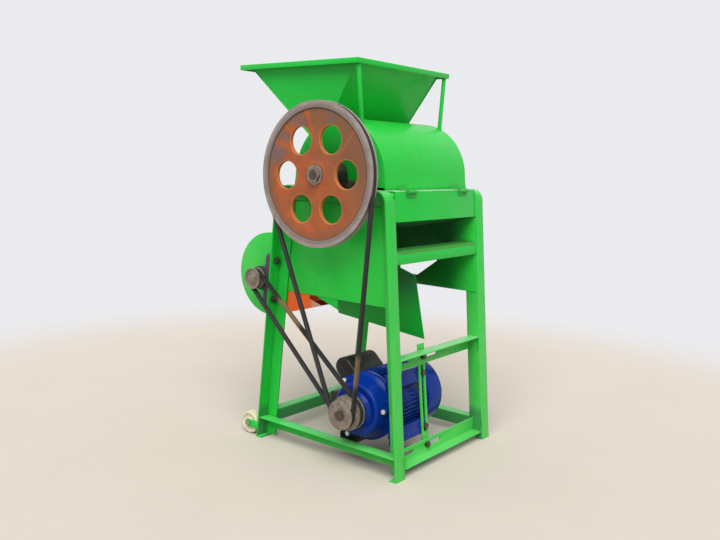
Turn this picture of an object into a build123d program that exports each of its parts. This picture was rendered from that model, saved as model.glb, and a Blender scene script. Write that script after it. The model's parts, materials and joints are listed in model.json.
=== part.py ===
"""Motor-driven peanut sheller on a splayed angle-iron stand, as separate pieces with real joints.

Millimetres, +Z up, -Y is the belt side, +X is the end where the shells come out.
Sizes are written from the drum axis (x), the middle of the stand (y) and the floor (z).
"""
import os
from math import acos, atan2, cos, hypot, pi, radians, sin, sqrt, tan

from build123d import *

os.makedirs("parts", exist_ok=True)

# Stand: two bent angle-iron side frames with splayed legs
frame_width = 448.0
frame_height = 696.0
frame_top_margin = 27.0
leg_spread = 62.0
angle_leg = 38.0
angle_wall = 4.0
corner_radius = 32.0
foot_thickness = 4.0
foot_length = 20.0
foot_margin = 1.0
sheet = 2.0

# Cross bars and rails of smaller angle iron: the upper one hangs from the top, the rest stand on the floor
bar_leg = 32.0
motor_bar_leg = 38.0
bar_wall = 3.0
upper_bar_drop = 176.0
mid_bar_top = 291.0
low_bar_bottom = 21.0
back_bar_top = 76.0
rail_top = 57.0

# Sheet metal of the body, by its drop below the top of the stand
plate_drop = 282.0
outlet_drop = 74.0
end_plate_inset = 1.0
lip_depth = 34.0
hood_reach = 92.0
hood_fall = 28.0
floor_reach = 78.0
floor_fall = 12.0
back_plate_lap = 5.0
window_left = -62.0
window_right = 64.0
window_low_drop = 255.0
window_step_drop = 208.0
window_top_drop = 184.0

# Kernel chute under the drum, and the skirt below the front plate
chute_drop = 166.0
chute_fan_gap = 10.0
chute_right_inset = 32.0
chute_shelf = 125.0
chute_shelf_fall = 49.0
chute_apron = 53.0
chute_left_fall = 147.0
chute_right_fall = 174.0
skirt_left = -68.0
skirt_right = 9.0
skirt_hang = 27.0
skirt_lap = 36.0

# Pillow blocks
drum_bearing_height = 31.5
fan_bearing_height = 36.5
bearing_base_length = 140.0
bearing_base_width = 38.0
bearing_base_height = 15.0
bearing_corner = 8.0
bearing_ring_radius = 31.0
bearing_ring_width = 34.0
bearing_bolt_pitch = 105.0
bearing_bolt_radius = 5.0
bolt_hole_play = 0.5

# Bolt heads, nuts and tails, as multiples of the shank radius
bolt_corner_ratio = 1.85
bolt_head_ratio = 1.3
bolt_nut_ratio = 1.6
bolt_tail_ratio = 2.2

# Shafts and running fits
shaft_radius = 12.5
shaft_chamfer = 1.0
shaft_rear_proud = 6.0
fan_shaft_rear_proud = 2.0
fan_shaft_front_proud = 3.0
running_fit = 0.05
belt_play = 0.4

# Threshing drum
drum_disc_radius = 112.0
drum_disc_thickness = 6.0
drum_disc_inset = 14.0
drum_bar_radius = 11.0
drum_bar_count = 6
drum_hub_radius = 26.0
drum_hub_length = 30.0
drum_side_gap = 8.0

# Concave screen under the drum
screen_gap = 15.0
screen_rod_radius = 3.0
screen_rod_step = 7.0
screen_arc = 140.0
screen_rib_height = 12.0
screen_rib_width = 6.0

# Cover over the drum, and its hinges
cover_clearance = 21.0
cover_drop = 5.0
cover_edge_radius = 4.0
cover_flare = 4.0
cover_gap = 0.5
cover_end_lift = 5.0
shaft_slot_play = 7.0
hinge_drop = 3.0
hinge_gap = 0.5
hinge_pin_radius = 2.5
hinge_knuckle_radius = 4.5
hinge_length = 38.0
hinge_leaf_height = 8.0
hinge_play = 0.3
hinge_front_inset = 64.0
hinge_rear_inset = 66.0

# Hopper, by its rise above the drum axis
rim_rise = 279.5
rim_length = 404.0
rim_overhang = 18.0
rim_centre = -135.0
rim_flange = 20.5
rim_lip = 13.0
neck_left = -162.6
neck_right = -44.3
neck_end_gap = 17.6
neck_rise = 138.5
hopper_foot_rise = 84.5
rod_radius = 5.5
rod_rim_end_inset = 8.0
rod_rim_side_inset = 12.0
rod_lean = 2.0
rod_foot_inset = 11.0

# Belts and pulleys
belt_width = 13.0
belt_height = 8.0
belt_slope = 20.0
belt_edge = 0.8
belt_sink = 1.5
belt_pitch = 23.5
groove_spare = 3.0
drum_pulley_radius = 176.5
drum_pulley_face = 20.0
drum_pulley_rim = 17.0
drum_pulley_web = 10.0
drum_pulley_recess = 3.0
drum_pulley_hub_radius = 30.0
drum_pulley_hub_length = 46.0
drum_pulley_hub_inset = 1.5
pulley_hole_radius = 34.0
pulley_hole_circle = 95.0
pulley_hole_count = 6
pulley_hole_turn = 2.0
washer_radius = 24.5
washer_thickness = 3.0
shaft_nut_radius = 18.0
shaft_nut_height = 6.0
shaft_tip = 1.5
fan_pulley_gap = 2.0
fan_pulley_radius = 28.0
fan_pulley_face = 24.0
motor_front_radius = 37.0
motor_rear_radius = 44.0
motor_pulley_end = 11.0

# Fan
fan_seat_drop = 254.0
fan_tip_gap = 12.0
scroll_rise = 6.5
scroll_lower_lip = -74.0
scroll_upper_lip = 42.0
scroll_cut_inset = 42.0
cheek_length = 167.0
cheek_right = -88.0
cheek_nose = 12.0
cheek_lap = 26.0
fan_inlet_radius = 60.0
shaft_hole_play = 3.0
fan_hub_radius = 22.0
fan_blade_radius = 92.0
fan_blade_thickness = 3.0
fan_blade_count = 6
fan_blade_gap = 10.0

# Motor, foot mounted on two slotted bars, with lengths from the shoulder of its shaft
motor_height = 150.0
motor_axis_to_foot = 90.0
motor_body_radius = 80.0
motor_body_start = 73.0
motor_body_length = 142.0
motor_fin_height = 7.0
motor_fin_width = 3.0
motor_fin_step = 7.5
motor_fin_sector = 105.0
motor_bore_radius = 52.0
motor_air_gap = 0.5
motor_shaft_radius = 12.0
motor_shaft_reach = 50.0
motor_shoulder = 3.0
motor_core_inset = 14.0
motor_foot_pitch_up = 140.0
motor_foot_pitch_along = 125.0
motor_foot_from_shoulder = 56.0
motor_foot_inner = 50.0
motor_foot_width = 38.0
motor_foot_thickness = 11.0
motor_foot_web = 8.0
motor_foot_web_reach = 26.0
shield_radius = 88.0
shield_nose_radius = 40.0
shield_nose_start = 9.0
shield_neck_radius = 46.0
shield_neck_start = 19.0
shield_face_radius = 65.0
shield_face_start = 15.0
shield_face_round = 8.0
shield_slope_start = 51.0
shield_rim_start = 59.0
rear_shield_thickness = 14.0
lug_circle = 79.0
lug_count = 3
lug_radius = 8.0
lug_length = 44.0
screw_head_radius = 6.5
screw_head_height = 5.0
fan_cover_length = 77.0
fan_cover_dome = 16.0
air_hole_rings = ((22.0, 6), (42.0, 12), (60.0, 18))
air_hole_radius = 5.0
cooling_hub_radius = 20.0
cooling_blade_radius = 72.0
cooling_blade_count = 7
cooling_fan_width = 22.0

# Capacitor covers and terminal box on the motor
capacitor_angle = 50.0
capacitor_radius = 26.0
capacitor_top = 145.0
capacitor_start = 67.0
capacitor_length = 122.0
capacitor_edge = 5.0
saddle_inset = 20.0
saddle_width = 42.0
terminal_start = 2.0
terminal_depth = 52.0
terminal_width = 44.0
terminal_length = 92.0
terminal_edge = 4.0
gland_radius = 11.0
gland_sleeve_radius = 8.0
gland_bore_radius = 4.5
gland_length = 20.0

# Slotted bars between the two cross bars, and the bolts in their slots
slotted_bar_width = 28.0
slotted_bar_wall = 4.0
slotted_bar_over = 13.0
slotted_bar_lift = 15.0
slot_radius = 5.5
slot_length = 178.0
slot_shift = 3.0
cross_slot_length = 74.0
cross_slot_shift = 25.0
mid_slot_drop = 18.0
low_slot_rise = 22.0
mount_bolt_radius = 4.5

# Transport wheels on the legs behind the fan
wheel_radius = 31.0
wheel_width = 24.0
wheel_edge = 2.0
wheel_out = 36.0
wheel_clearance = 1.0
wheel_side_play = 0.5
axle_radius = 5.0
axle_head_radius = 8.5
axle_head_height = 5.0
bracket_wall = 3.0
bracket_end_radius = 11.0
bracket_root_rise = 10.0

# Derived sizes and heights
half_width = frame_width / 2
plate_y = half_width - angle_leg
inner_y = plate_y - sheet
flange_middle = half_width - angle_leg / 2
drum_reach = drum_disc_radius + drum_bar_radius
screen_radius = drum_reach + screen_gap + screen_rod_radius
cover_radius = drum_reach + cover_clearance + sheet
frame_top_half = cover_radius + cover_flare + frame_top_margin
splay = atan2(leg_spread, frame_height)
scroll_radius = fan_blade_radius + fan_tip_gap + scroll_rise + sheet

drum_z = frame_height + drum_bearing_height
cover_bottom = frame_height + cover_gap
cover_z = drum_z - cover_drop
hinge_z = frame_height - hinge_drop
rim_top = drum_z + rim_rise
neck_z = drum_z + neck_rise
hopper_foot_z = drum_z + hopper_foot_rise
plate_bottom = frame_height - plate_drop
outlet_top = frame_height - outlet_drop
upper_bar_bottom = frame_height - upper_bar_drop
fan_seat_z = frame_height - fan_seat_drop
mid_bar_bottom = mid_bar_top - motor_bar_leg
slotted_bar_top = mid_bar_top + slotted_bar_over
slotted_bar_bottom = low_bar_bottom + slotted_bar_lift


def leg_half(z, inset=0.0):
    """Distance from the drum axis to a leg's outer face at height z, moved in by inset."""
    return frame_top_half + leg_spread * (1 - z / frame_height) - inset / cos(splay)


hinge_x = leg_half(hinge_z, end_plate_inset) + hinge_gap + hinge_knuckle_radius
fan_x = -leg_half(fan_seat_z) - fan_bearing_height * cos(splay)
fan_z = fan_seat_z + fan_bearing_height * sin(splay)
scroll_z = fan_z + scroll_rise
back_plate_bottom = scroll_z + scroll_radius - back_plate_lap

# The slotted bars lean against the upright flanges of the two motor cross bars
mid_back = leg_half(mid_bar_top) - bar_leg
low_back = leg_half(low_bar_bottom) - bar_leg
bar_tilt = atan2(low_back - mid_back, mid_bar_bottom - slotted_bar_bottom)
bar_face = mid_back + (mid_bar_bottom - motor_height) * tan(bar_tilt)
motor_x = bar_face - (slotted_bar_wall + motor_axis_to_foot) / cos(bar_tilt)

# Places along the shafts, from the middle of the stand
fan_belt_y = -half_width - fan_pulley_gap - fan_pulley_face / 2
drum_belt_y = fan_belt_y - belt_pitch
hub_front_y = drum_belt_y - drum_pulley_face / 2 + drum_pulley_hub_inset
shaft_front_y = hub_front_y - washer_thickness - shaft_nut_height - shaft_tip
shaft_rear_y = half_width + shaft_rear_proud
motor_shoulder_y = fan_belt_y + motor_pulley_end
motor_body_front_y = motor_shoulder_y + motor_body_start
motor_body_rear_y = motor_body_front_y + motor_body_length
motor_rear_y = motor_body_rear_y + fan_cover_length
front_foot_y = motor_shoulder_y + motor_foot_from_shoulder
rear_foot_y = front_foot_y + motor_foot_pitch_along

# The box of the whole machine is centred on the origin
foot_edge = leg_half(0) + foot_margin
drum_x = -(fan_x - scroll_radius + foot_edge) / 2
frame_y = -(shaft_front_y + shaft_rear_y) / 2


def across(y):
    """Upright plane square to the shafts: x from the drum axis, z from the floor, facing -Y."""
    return Plane(origin=(drum_x, frame_y + y, 0), x_dir=(1, 0, 0), z_dir=(0, -1, 0))


def level(z):
    """Flat plane at height z, with its zero under the drum axis."""
    return Plane(origin=(drum_x, frame_y, z))


def endwise(x):
    """Upright plane square to the length of the machine, x from the drum axis, facing +X."""
    return Plane(origin=(drum_x + x, frame_y, 0), x_dir=(0, 1, 0), z_dir=(1, 0, 0))


def motor_plane(y):
    """Plane square to the motor shaft: x points to the feet, y points up the slotted bars."""
    toward_feet = (cos(bar_tilt), 0, sin(bar_tilt))
    origin = (drum_x + motor_x, frame_y + y, motor_height)
    return Plane(origin=origin, x_dir=toward_feet, z_dir=(0, -1, 0))


def bar_plane(depth):
    """Plane along the slotted bars, depth behind their outer face: x runs to -Y, y runs up."""
    toward_motor = Vector(-cos(bar_tilt), 0, -sin(bar_tilt))
    start = Vector(drum_x + bar_face, frame_y, motor_height)
    return Plane(origin=start + toward_motor * depth, x_dir=(0, -1, 0), z_dir=toward_motor)


def drum_seat(y):
    """Seat of a drum bearing on the top flange of a side frame."""
    return Plane(origin=(drum_x, frame_y + y, frame_height), x_dir=(1, 0, 0), z_dir=(0, -1, 0))


def fan_seat(y):
    """Seat of a fan bearing on the outer face of a leg behind the fan."""
    origin = (drum_x - leg_half(fan_seat_z), frame_y + y, fan_seat_z)
    return Plane(origin=origin, x_dir=(sin(splay), 0, cos(splay)), z_dir=(0, -1, 0))


def save(piece, name):
    """Label one finished piece and write it under its node name."""
    piece.label = name
    export_step(piece, f"parts/{name}.step")


def portal(inset):
    """Filled outline of a side frame, moved in by inset, with rounded top corners."""
    top = frame_height - inset
    foot = leg_half(foot_thickness, inset)
    with BuildSketch() as outline:
        with BuildLine():
            Polyline((-foot, foot_thickness), (-leg_half(top, inset), top), (leg_half(top, inset), top),
                     (foot, foot_thickness), close=True)
        make_face()
        if corner_radius > inset:
            fillet(outline.vertices().group_by(Axis.Y)[-1], corner_radius - inset)
    return outline.sketch


# Side frames: a flange that stands out to the side, and a web against the side plate
for name, side in (("side_frame_front", -1), ("side_frame_rear", 1)):
    with BuildPart() as side_frame:
        with BuildSketch(across(side * plate_y)):
            add(portal(0))
            add(portal(angle_wall), mode=Mode.SUBTRACT)
        extrude(amount=-side * angle_leg)
        with BuildSketch(across(side * plate_y)):
            add(portal(angle_wall))
            add(portal(angle_leg), mode=Mode.SUBTRACT)
        extrude(amount=-side * angle_wall)
        with BuildSketch(level(frame_height)):
            with Locations((-bearing_bolt_pitch / 2, side * flange_middle),
                           (bearing_bolt_pitch / 2, side * flange_middle)):
                Circle(bearing_bolt_radius + bolt_hole_play)
        extrude(amount=-angle_wall, mode=Mode.SUBTRACT)
        seat = fan_seat(side * flange_middle)
        with BuildSketch(Plane(origin=seat.origin, x_dir=seat.x_dir, z_dir=seat.y_dir)):
            with Locations((-bearing_bolt_pitch / 2, 0), (bearing_bolt_pitch / 2, 0)):
                Circle(bearing_bolt_radius + bolt_hole_play)
        extrude(amount=-angle_wall, mode=Mode.SUBTRACT)
    save(side_frame.part, name)

# Foot plates under the four legs
with BuildPart() as foot_plates:
    foot_size = angle_leg + foot_margin
    with BuildSketch(level(0)):
        with GridLocations(2 * foot_edge - foot_length, 2 * plate_y + foot_size, 2, 2):
            Rectangle(foot_length, foot_size)
    extrude(amount=foot_thickness)
save(foot_plates.part, "foot_plates")

# Bottom rails between the legs, top flange outward
with BuildPart() as bottom_rails:
    web_y = plate_y + angle_wall
    rail_bottom = rail_top - bar_leg
    for side in (-1, 1):
        for high, start, mode in (
            (rail_top, web_y, Mode.ADD),
            (rail_top - bar_wall, web_y + bar_wall, Mode.SUBTRACT),
        ):
            with BuildSketch(across(side * start)):
                with BuildLine():
                    Polyline((-leg_half(rail_bottom, angle_wall), rail_bottom),
                             (-leg_half(high, angle_wall), high), (leg_half(high, angle_wall), high),
                             (leg_half(rail_bottom, angle_wall), rail_bottom), close=True)
                make_face()
            extrude(amount=-side * bar_leg, mode=mode)
save(bottom_rails.part, "bottom_rails")


def angle_bar(corner, along_x, along_z, upright, half_length):
    """Angle iron across the machine: outer corner, way of its two flanges, height of the upright one."""
    x, z = corner
    with BuildPart() as bar:
        with BuildSketch(across(0)):
            with BuildLine():
                Polyline((x, z), (x + along_x * bar_leg, z),
                         (x + along_x * bar_leg, z + along_z * bar_wall),
                         (x + along_x * bar_wall, z + along_z * bar_wall),
                         (x + along_x * bar_wall, z + along_z * upright),
                         (x, z + along_z * upright), close=True)
            make_face()
        extrude(amount=half_length, both=True)
    return bar.part


upper_bar_top = upper_bar_bottom + bar_leg
save(angle_bar((leg_half(upper_bar_top), upper_bar_top), -1, -1, bar_leg, inner_y), "upper_cross_bar")
save(angle_bar((-leg_half(back_bar_top) + bar_leg, back_bar_top), -1, -1, bar_leg, plate_y), "back_cross_bar")

# Two cross bars that carry the motor: slots in their upright flanges take the slotted bars
mid_slot_z = mid_bar_top - mid_slot_drop
low_slot_z = low_bar_bottom + low_slot_rise
for name, corner, rise, slot_z in (
    ("mid_cross_bar", (mid_back, mid_bar_top), -1, mid_slot_z),
    ("low_cross_bar", (low_back, low_bar_bottom), 1, low_slot_z),
):
    with BuildPart() as slotted_cross_bar:
        add(angle_bar(corner, 1, rise, motor_bar_leg, plate_y))
        with BuildSketch(endwise(corner[0])):
            with Locations((front_foot_y + cross_slot_shift, slot_z),
                           (rear_foot_y + cross_slot_shift, slot_z)):
                SlotOverall(cross_slot_length, 2 * slot_radius)
        extrude(amount=2 * bar_wall, both=True, mode=Mode.SUBTRACT)
    save(slotted_cross_bar.part, name)

# Side plates between the legs
for name, side in (("side_plate_front", -1), ("side_plate_rear", 1)):
    with BuildPart() as side_plate:
        plate_top = frame_height - angle_wall
        with BuildSketch(across(side * inner_y)):
            with BuildLine():
                Polyline((-leg_half(plate_bottom, angle_wall), plate_bottom),
                         (-leg_half(plate_top, angle_wall), plate_top),
                         (leg_half(plate_top, angle_wall), plate_top),
                         (leg_half(plate_bottom, angle_wall), plate_bottom), close=True)
            make_face()
            if side == 1:
                low = frame_height - window_low_drop
                step = frame_height - window_step_drop
                high = frame_height - window_top_drop
                with BuildLine():
                    Polyline((window_left, low), (0, low), (window_right, step), (window_right, high),
                             (window_left, high), close=True)
                make_face(mode=Mode.SUBTRACT)
        extrude(amount=-side * sheet)
    save(side_plate.part, name)


def sheet_strip(points, half_length):
    """Bent sheet across the machine: its outer line as points, thickened to the left of travel."""
    with BuildPart() as strip:
        with BuildSketch(across(0)):
            with BuildLine():
                Polyline(*points)
                offset(amount=sheet, side=Side.LEFT, kind=Kind.INTERSECTION)
            make_face()
        extrude(amount=half_length, both=True)
    return strip.part


# End plates under the cover, each with a lip folded in at the top
lip_edge = frame_top_half - lip_depth
lip_corner = leg_half(frame_height, end_plate_inset)
save(sheet_strip([(leg_half(outlet_top, end_plate_inset), outlet_top), (lip_corner, frame_height),
                  (lip_edge, frame_height)], inner_y), "outlet_end_plate")
save(sheet_strip([(-lip_edge, frame_height), (-lip_corner, frame_height),
                  (-leg_half(back_plate_bottom, end_plate_inset), back_plate_bottom)], inner_y),
     "back_end_plate")

# Hood above the shell outlet, and the sloping floor below it
hood_z = outlet_top + 2 * sheet
hood_x = leg_half(hood_z, end_plate_inset + sheet)
save(sheet_strip([(hood_x - hood_reach, hood_z - hood_fall), (hood_x, hood_z)], inner_y), "outlet_hood")
floor_x = leg_half(upper_bar_top) - bar_leg
save(sheet_strip([(floor_x - floor_reach, upper_bar_top - floor_fall), (floor_x, upper_bar_top)],
                 inner_y), "outlet_floor")

# Kernel chute: a shelf from the front plate that folds down towards the middle
with BuildPart() as kernel_chute:
    chute_top = frame_height - chute_drop
    fold_y = chute_shelf - inner_y
    fold_z = chute_top - chute_shelf_fall
    end_y = fold_y + chute_apron
    for x, fall in (
        (fan_x + fan_blade_radius + chute_fan_gap, chute_left_fall),
        (leg_half(chute_top) - chute_right_inset, chute_right_fall),
    ):
        end_z = fold_z - fall
        with BuildSketch(endwise(x)):
            with BuildLine():
                Polyline((-inner_y, chute_top), (fold_y, fold_z), (end_y, end_z), (end_y - sheet, end_z),
                         (fold_y - sheet, fold_z - sheet), (-inner_y, chute_top - sheet), close=True)
            make_face()
    loft(ruled=True)
save(kernel_chute.part, "kernel_chute")

# Skirt that hangs from the front plate beside the fan outlet
with BuildPart() as chute_skirt:
    with BuildSketch(across(-inner_y)):
        with BuildLine():
            Polyline((skirt_left, plate_bottom), (skirt_right, plate_bottom - skirt_hang),
                     (skirt_right, plate_bottom + skirt_lap), (skirt_left, plate_bottom + skirt_lap),
                     close=True)
        make_face()
    extrude(amount=-sheet)
save(chute_skirt.part, "chute_skirt")


def pillow_block(seat, height):
    """Cast pillow block on a seat plane: x along the base, y out to the shaft, square to the shaft."""
    with BuildPart() as block:
        with BuildSketch(seat):
            with Locations((0, bearing_base_height / 2)):
                Rectangle(bearing_base_length, bearing_base_height)
        extrude(amount=bearing_base_width / 2, both=True)
        fillet(block.edges().filter_by(Axis(seat.origin, seat.y_dir)), bearing_corner)
        with BuildSketch(seat):
            with Locations((0, height)):
                Circle(bearing_ring_radius)
            with Locations((0, height / 2)):
                Rectangle(2 * bearing_ring_radius, height)
        extrude(amount=bearing_ring_width / 2, both=True)
        with BuildSketch(seat):
            with Locations((0, height)):
                Circle(shaft_radius + running_fit)
        extrude(amount=bearing_base_width, both=True, mode=Mode.SUBTRACT)
        with BuildSketch(Plane(origin=seat.origin, x_dir=seat.x_dir, z_dir=seat.y_dir)):
            with Locations((-bearing_bolt_pitch / 2, 0), (bearing_bolt_pitch / 2, 0)):
                Circle(bearing_bolt_radius + bolt_hole_play)
        extrude(amount=2 * bearing_base_height, both=True, mode=Mode.SUBTRACT)
    return block.part


def hex_bolt(plane, radius, grip):
    """Bolt along a plane's normal: head on the plane, shank through the grip, nut beyond it."""
    with BuildPart() as bolt:
        with BuildSketch(plane):
            Circle(radius)
        extrude(amount=-(grip + bolt_tail_ratio * radius))
        with BuildSketch(plane):
            RegularPolygon(bolt_corner_ratio * radius, 6)
        extrude(amount=bolt_head_ratio * radius)
        with BuildSketch(plane.offset(-grip)):
            RegularPolygon(bolt_corner_ratio * radius, 6)
        extrude(amount=-bolt_nut_ratio * radius)
    return bolt.part


# A pair of pillow blocks for the drum and a pair for the fan, bolted to the side frames
for name, seat_of, height in (
    ("drum_bearing", drum_seat, drum_bearing_height),
    ("fan_bearing", fan_seat, fan_bearing_height),
):
    blocks = []
    bolts = []
    for y in (-flange_middle, flange_middle):
        seat = seat_of(y)
        blocks.append(pillow_block(seat, height))
        for along in (-bearing_bolt_pitch / 2, bearing_bolt_pitch / 2):
            head = seat.origin + seat.x_dir * along + seat.y_dir * bearing_base_height
            head_plane = Plane(origin=head, x_dir=seat.x_dir, z_dir=seat.y_dir)
            bolts.append(hex_bolt(head_plane, bearing_bolt_radius, bearing_base_height + angle_wall))
    save(Compound(children=blocks), f"{name}s")
    save(Compound(children=bolts), f"{name}_bolts")

# Drum: shaft, end and middle discs, and round beater bars
with BuildPart() as drum_shaft:
    with BuildSketch(across(shaft_rear_y)):
        with Locations((0, drum_z)):
            Circle(shaft_radius)
    extrude(amount=shaft_rear_y - shaft_front_y)
    chamfer(drum_shaft.edges().filter_by(GeomType.CIRCLE), shaft_chamfer)
save(drum_shaft.part, "drum_shaft")

drum_half = inner_y - drum_side_gap
with BuildPart() as drum_discs:
    for y in (drum_half - drum_disc_inset, 0, drum_disc_inset - drum_half):
        with BuildSketch(across(y)):
            with Locations((0, drum_z)):
                Circle(drum_disc_radius)
        extrude(amount=drum_disc_thickness / 2, both=True)
        with BuildSketch(across(y)):
            with Locations((0, drum_z)):
                Circle(drum_hub_radius)
        extrude(amount=drum_hub_length / 2, both=True)
    with BuildSketch(across(0)):
        with Locations((0, drum_z)):
            Circle(shaft_radius)
            with PolarLocations(drum_disc_radius, drum_bar_count):
                Circle(drum_bar_radius)
    extrude(amount=inner_y, both=True, mode=Mode.SUBTRACT)
save(drum_discs.part, "drum_discs")

with BuildPart() as drum_bars:
    with BuildSketch(across(0)):
        with Locations((0, drum_z)):
            with PolarLocations(drum_disc_radius, drum_bar_count):
                Circle(drum_bar_radius)
    extrude(amount=drum_half, both=True)
save(drum_bars.part, "drum_bars")

# Concave screen: round rods on three ribs
with BuildPart() as screen_ribs:
    rib_outer = screen_radius + screen_rib_height
    rib_start = 270 - screen_arc / 2
    for y in (screen_rib_width / 2 - inner_y, 0, inner_y - screen_rib_width / 2):
        with BuildSketch(across(y)):
            with Locations((0, drum_z)):
                Circle(rib_outer)
                Circle(screen_radius + screen_rod_radius, mode=Mode.SUBTRACT)
            with BuildLine():
                edge = 2 * rib_outer
                Polyline((0, drum_z),
                         (edge * cos(radians(rib_start)), drum_z + edge * sin(radians(rib_start))),
                         (0, drum_z - 2 * edge),
                         (edge * cos(radians(rib_start + screen_arc)),
                          drum_z + edge * sin(radians(rib_start + screen_arc))), close=True)
            make_face(mode=Mode.INTERSECT)
        extrude(amount=screen_rib_width / 2, both=True)
    with BuildSketch(across(0)):
        with Locations((0, drum_z)):
            with PolarLocations(screen_radius, int(screen_arc / screen_rod_step),
                                start_angle=rib_start + screen_rod_step / 2, angular_range=screen_arc):
                Circle(screen_rod_radius)
    extrude(amount=inner_y, both=True, mode=Mode.SUBTRACT)
save(screen_ribs.part, "screen_ribs")

with BuildPart() as screen_rods:
    with BuildSketch(across(0)):
        with Locations((0, drum_z)):
            with PolarLocations(screen_radius, int(screen_arc / screen_rod_step),
                                start_angle=rib_start + screen_rod_step / 2, angular_range=screen_arc):
                Circle(screen_rod_radius)
    extrude(amount=inner_y, both=True)
save(screen_rods.part, "screen_rods")


def cover_outline(inset):
    """Cover section: a half round over the drum with slightly flared skirts, moved in by inset."""
    radius = cover_radius - inset
    skirt = cover_radius + cover_flare - inset
    with BuildSketch() as outline:
        with BuildLine():
            Polyline((-radius, cover_z), (-skirt, cover_bottom), (skirt, cover_bottom), (radius, cover_z))
            ThreePointArc((radius, cover_z), (0, cover_z + radius), (-radius, cover_z))
        make_face()
    return outline.sketch


rim_half_width = inner_y + rim_overhang


def hopper_block(inset):
    """Inside or outside of the hopper as one tapered block from its mouth down past the cover."""
    fall = (rim_top - sheet - hopper_foot_z) / (rim_top - sheet - neck_z)
    mouth_left = rim_centre - rim_length / 2 + rim_flange
    mouth_right = rim_centre + rim_length / 2 - rim_flange
    mouth_half = rim_half_width - rim_flange
    foot_left = mouth_left + (neck_left - mouth_left) * fall
    foot_right = mouth_right + (neck_right - mouth_right) * fall
    foot_half = mouth_half + (inner_y - neck_end_gap - mouth_half) * fall
    with BuildPart() as block:
        for z, left, right, half in (
            (rim_top - sheet, mouth_left, mouth_right, mouth_half),
            (hopper_foot_z, foot_left, foot_right, foot_half),
        ):
            with BuildSketch(level(z)):
                with Locations(((left + right) / 2, 0)):
                    Rectangle(right - left - 2 * inset, 2 * (half - inset))
        loft(ruled=True)
    return block.part


def cover_round():
    """Round block inside the outer face of the cover, longer than the machine is wide."""
    with BuildPart() as block:
        with BuildSketch(across(0)):
            with Locations((0, cover_z)):
                Circle(cover_radius)
        extrude(amount=frame_width, both=True)
    return block.part


# Cover: curved sheet, two end sheets with slots that lift clear of the shaft, and the feed opening
with BuildPart() as cover:
    with BuildSketch(across(0)):
        add(cover_outline(0))
    extrude(amount=inner_y, both=True)
    end_edges = cover.faces().filter_by(Axis.Y).edges()
    fillet(end_edges.filter_by(lambda edge: edge.center().Z > cover_bottom + sheet), cover_edge_radius)
    with BuildSketch(across(0)):
        add(cover_outline(sheet))
    extrude(amount=inner_y - sheet, both=True, mode=Mode.SUBTRACT)
    slot_half = shaft_radius + shaft_slot_play
    with BuildSketch(across(0)):
        with Locations((0, cover_bottom)):
            Rectangle(2 * (cover_radius - sheet), 2 * cover_end_lift)
            Rectangle(2 * slot_half, 2 * (drum_z - cover_bottom))
        with Locations((0, drum_z)):
            Circle(slot_half)
    extrude(amount=half_width, both=True, mode=Mode.SUBTRACT)
    add(hopper_block(sheet), mode=Mode.SUBTRACT)
save(cover.part, "cover")

# Hopper walls, cut to the curve of the cover
with BuildPart() as hopper:
    add(hopper_block(0))
    add(hopper_block(sheet), mode=Mode.SUBTRACT)
    add(cover_round(), mode=Mode.SUBTRACT)
save(hopper.part, "hopper")

# Hopper rim: a flange round the mouth with its edge turned down
with BuildPart() as hopper_rim:
    with BuildSketch(level(rim_top)):
        with Locations((rim_centre, 0)):
            Rectangle(rim_length, 2 * rim_half_width)
            Rectangle(rim_length - 2 * (rim_flange + sheet), 2 * (rim_half_width - rim_flange - sheet),
                      mode=Mode.SUBTRACT)
    extrude(amount=-sheet)
    with BuildSketch(level(rim_top)):
        with Locations((rim_centre, 0)):
            Rectangle(rim_length, 2 * rim_half_width)
            Rectangle(rim_length - 2 * sheet, 2 * (rim_half_width - sheet), mode=Mode.SUBTRACT)
    extrude(amount=-rim_lip)
save(hopper_rim.part, "hopper_rim")

# Two rods that hold the rim up from the cover
with BuildPart() as hopper_rods:
    rod_top_x = rim_centre + rim_length / 2 - rod_rim_end_inset
    rod_foot_x = rod_top_x + rod_lean
    rod_foot_z = cover_z + sqrt(cover_radius**2 - rod_foot_x**2)
    for side in (-1, 1):
        rod_top_y = frame_y + side * (rim_half_width - rod_rim_side_inset)
        top = Vector(drum_x + rod_top_x, rod_top_y, rim_top - sheet)
        foot = Vector(drum_x + rod_foot_x, frame_y + side * (inner_y - rod_foot_inset), rod_foot_z)
        spare = (foot - top).normalized() * (3 * rod_radius)
        with BuildSketch(Plane(origin=top - spare, z_dir=foot - top)):
            Circle(rod_radius)
        extrude(amount=(foot - top + spare * 2).length)
    split(bisect_by=level(rim_top - sheet), keep=Keep.BOTTOM)
    add(cover_round(), mode=Mode.SUBTRACT)
save(hopper_rods.part, "hopper_rods")

# Cover hinges: fixed leaves on the face of the end plate, pins, and straps from the cover over its lip
knuckle_length = hinge_length / 3
hinge_places = (hinge_front_inset - inner_y, inner_y - hinge_rear_inset)


def skirt_x(z):
    """Outer face of the cover skirt at height z."""
    return cover_radius + cover_flare * (cover_z - z) / (cover_z - cover_bottom)


def plate_x(z):
    """Outer face of the outlet end plate at height z."""
    return leg_half(z, end_plate_inset)


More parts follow.
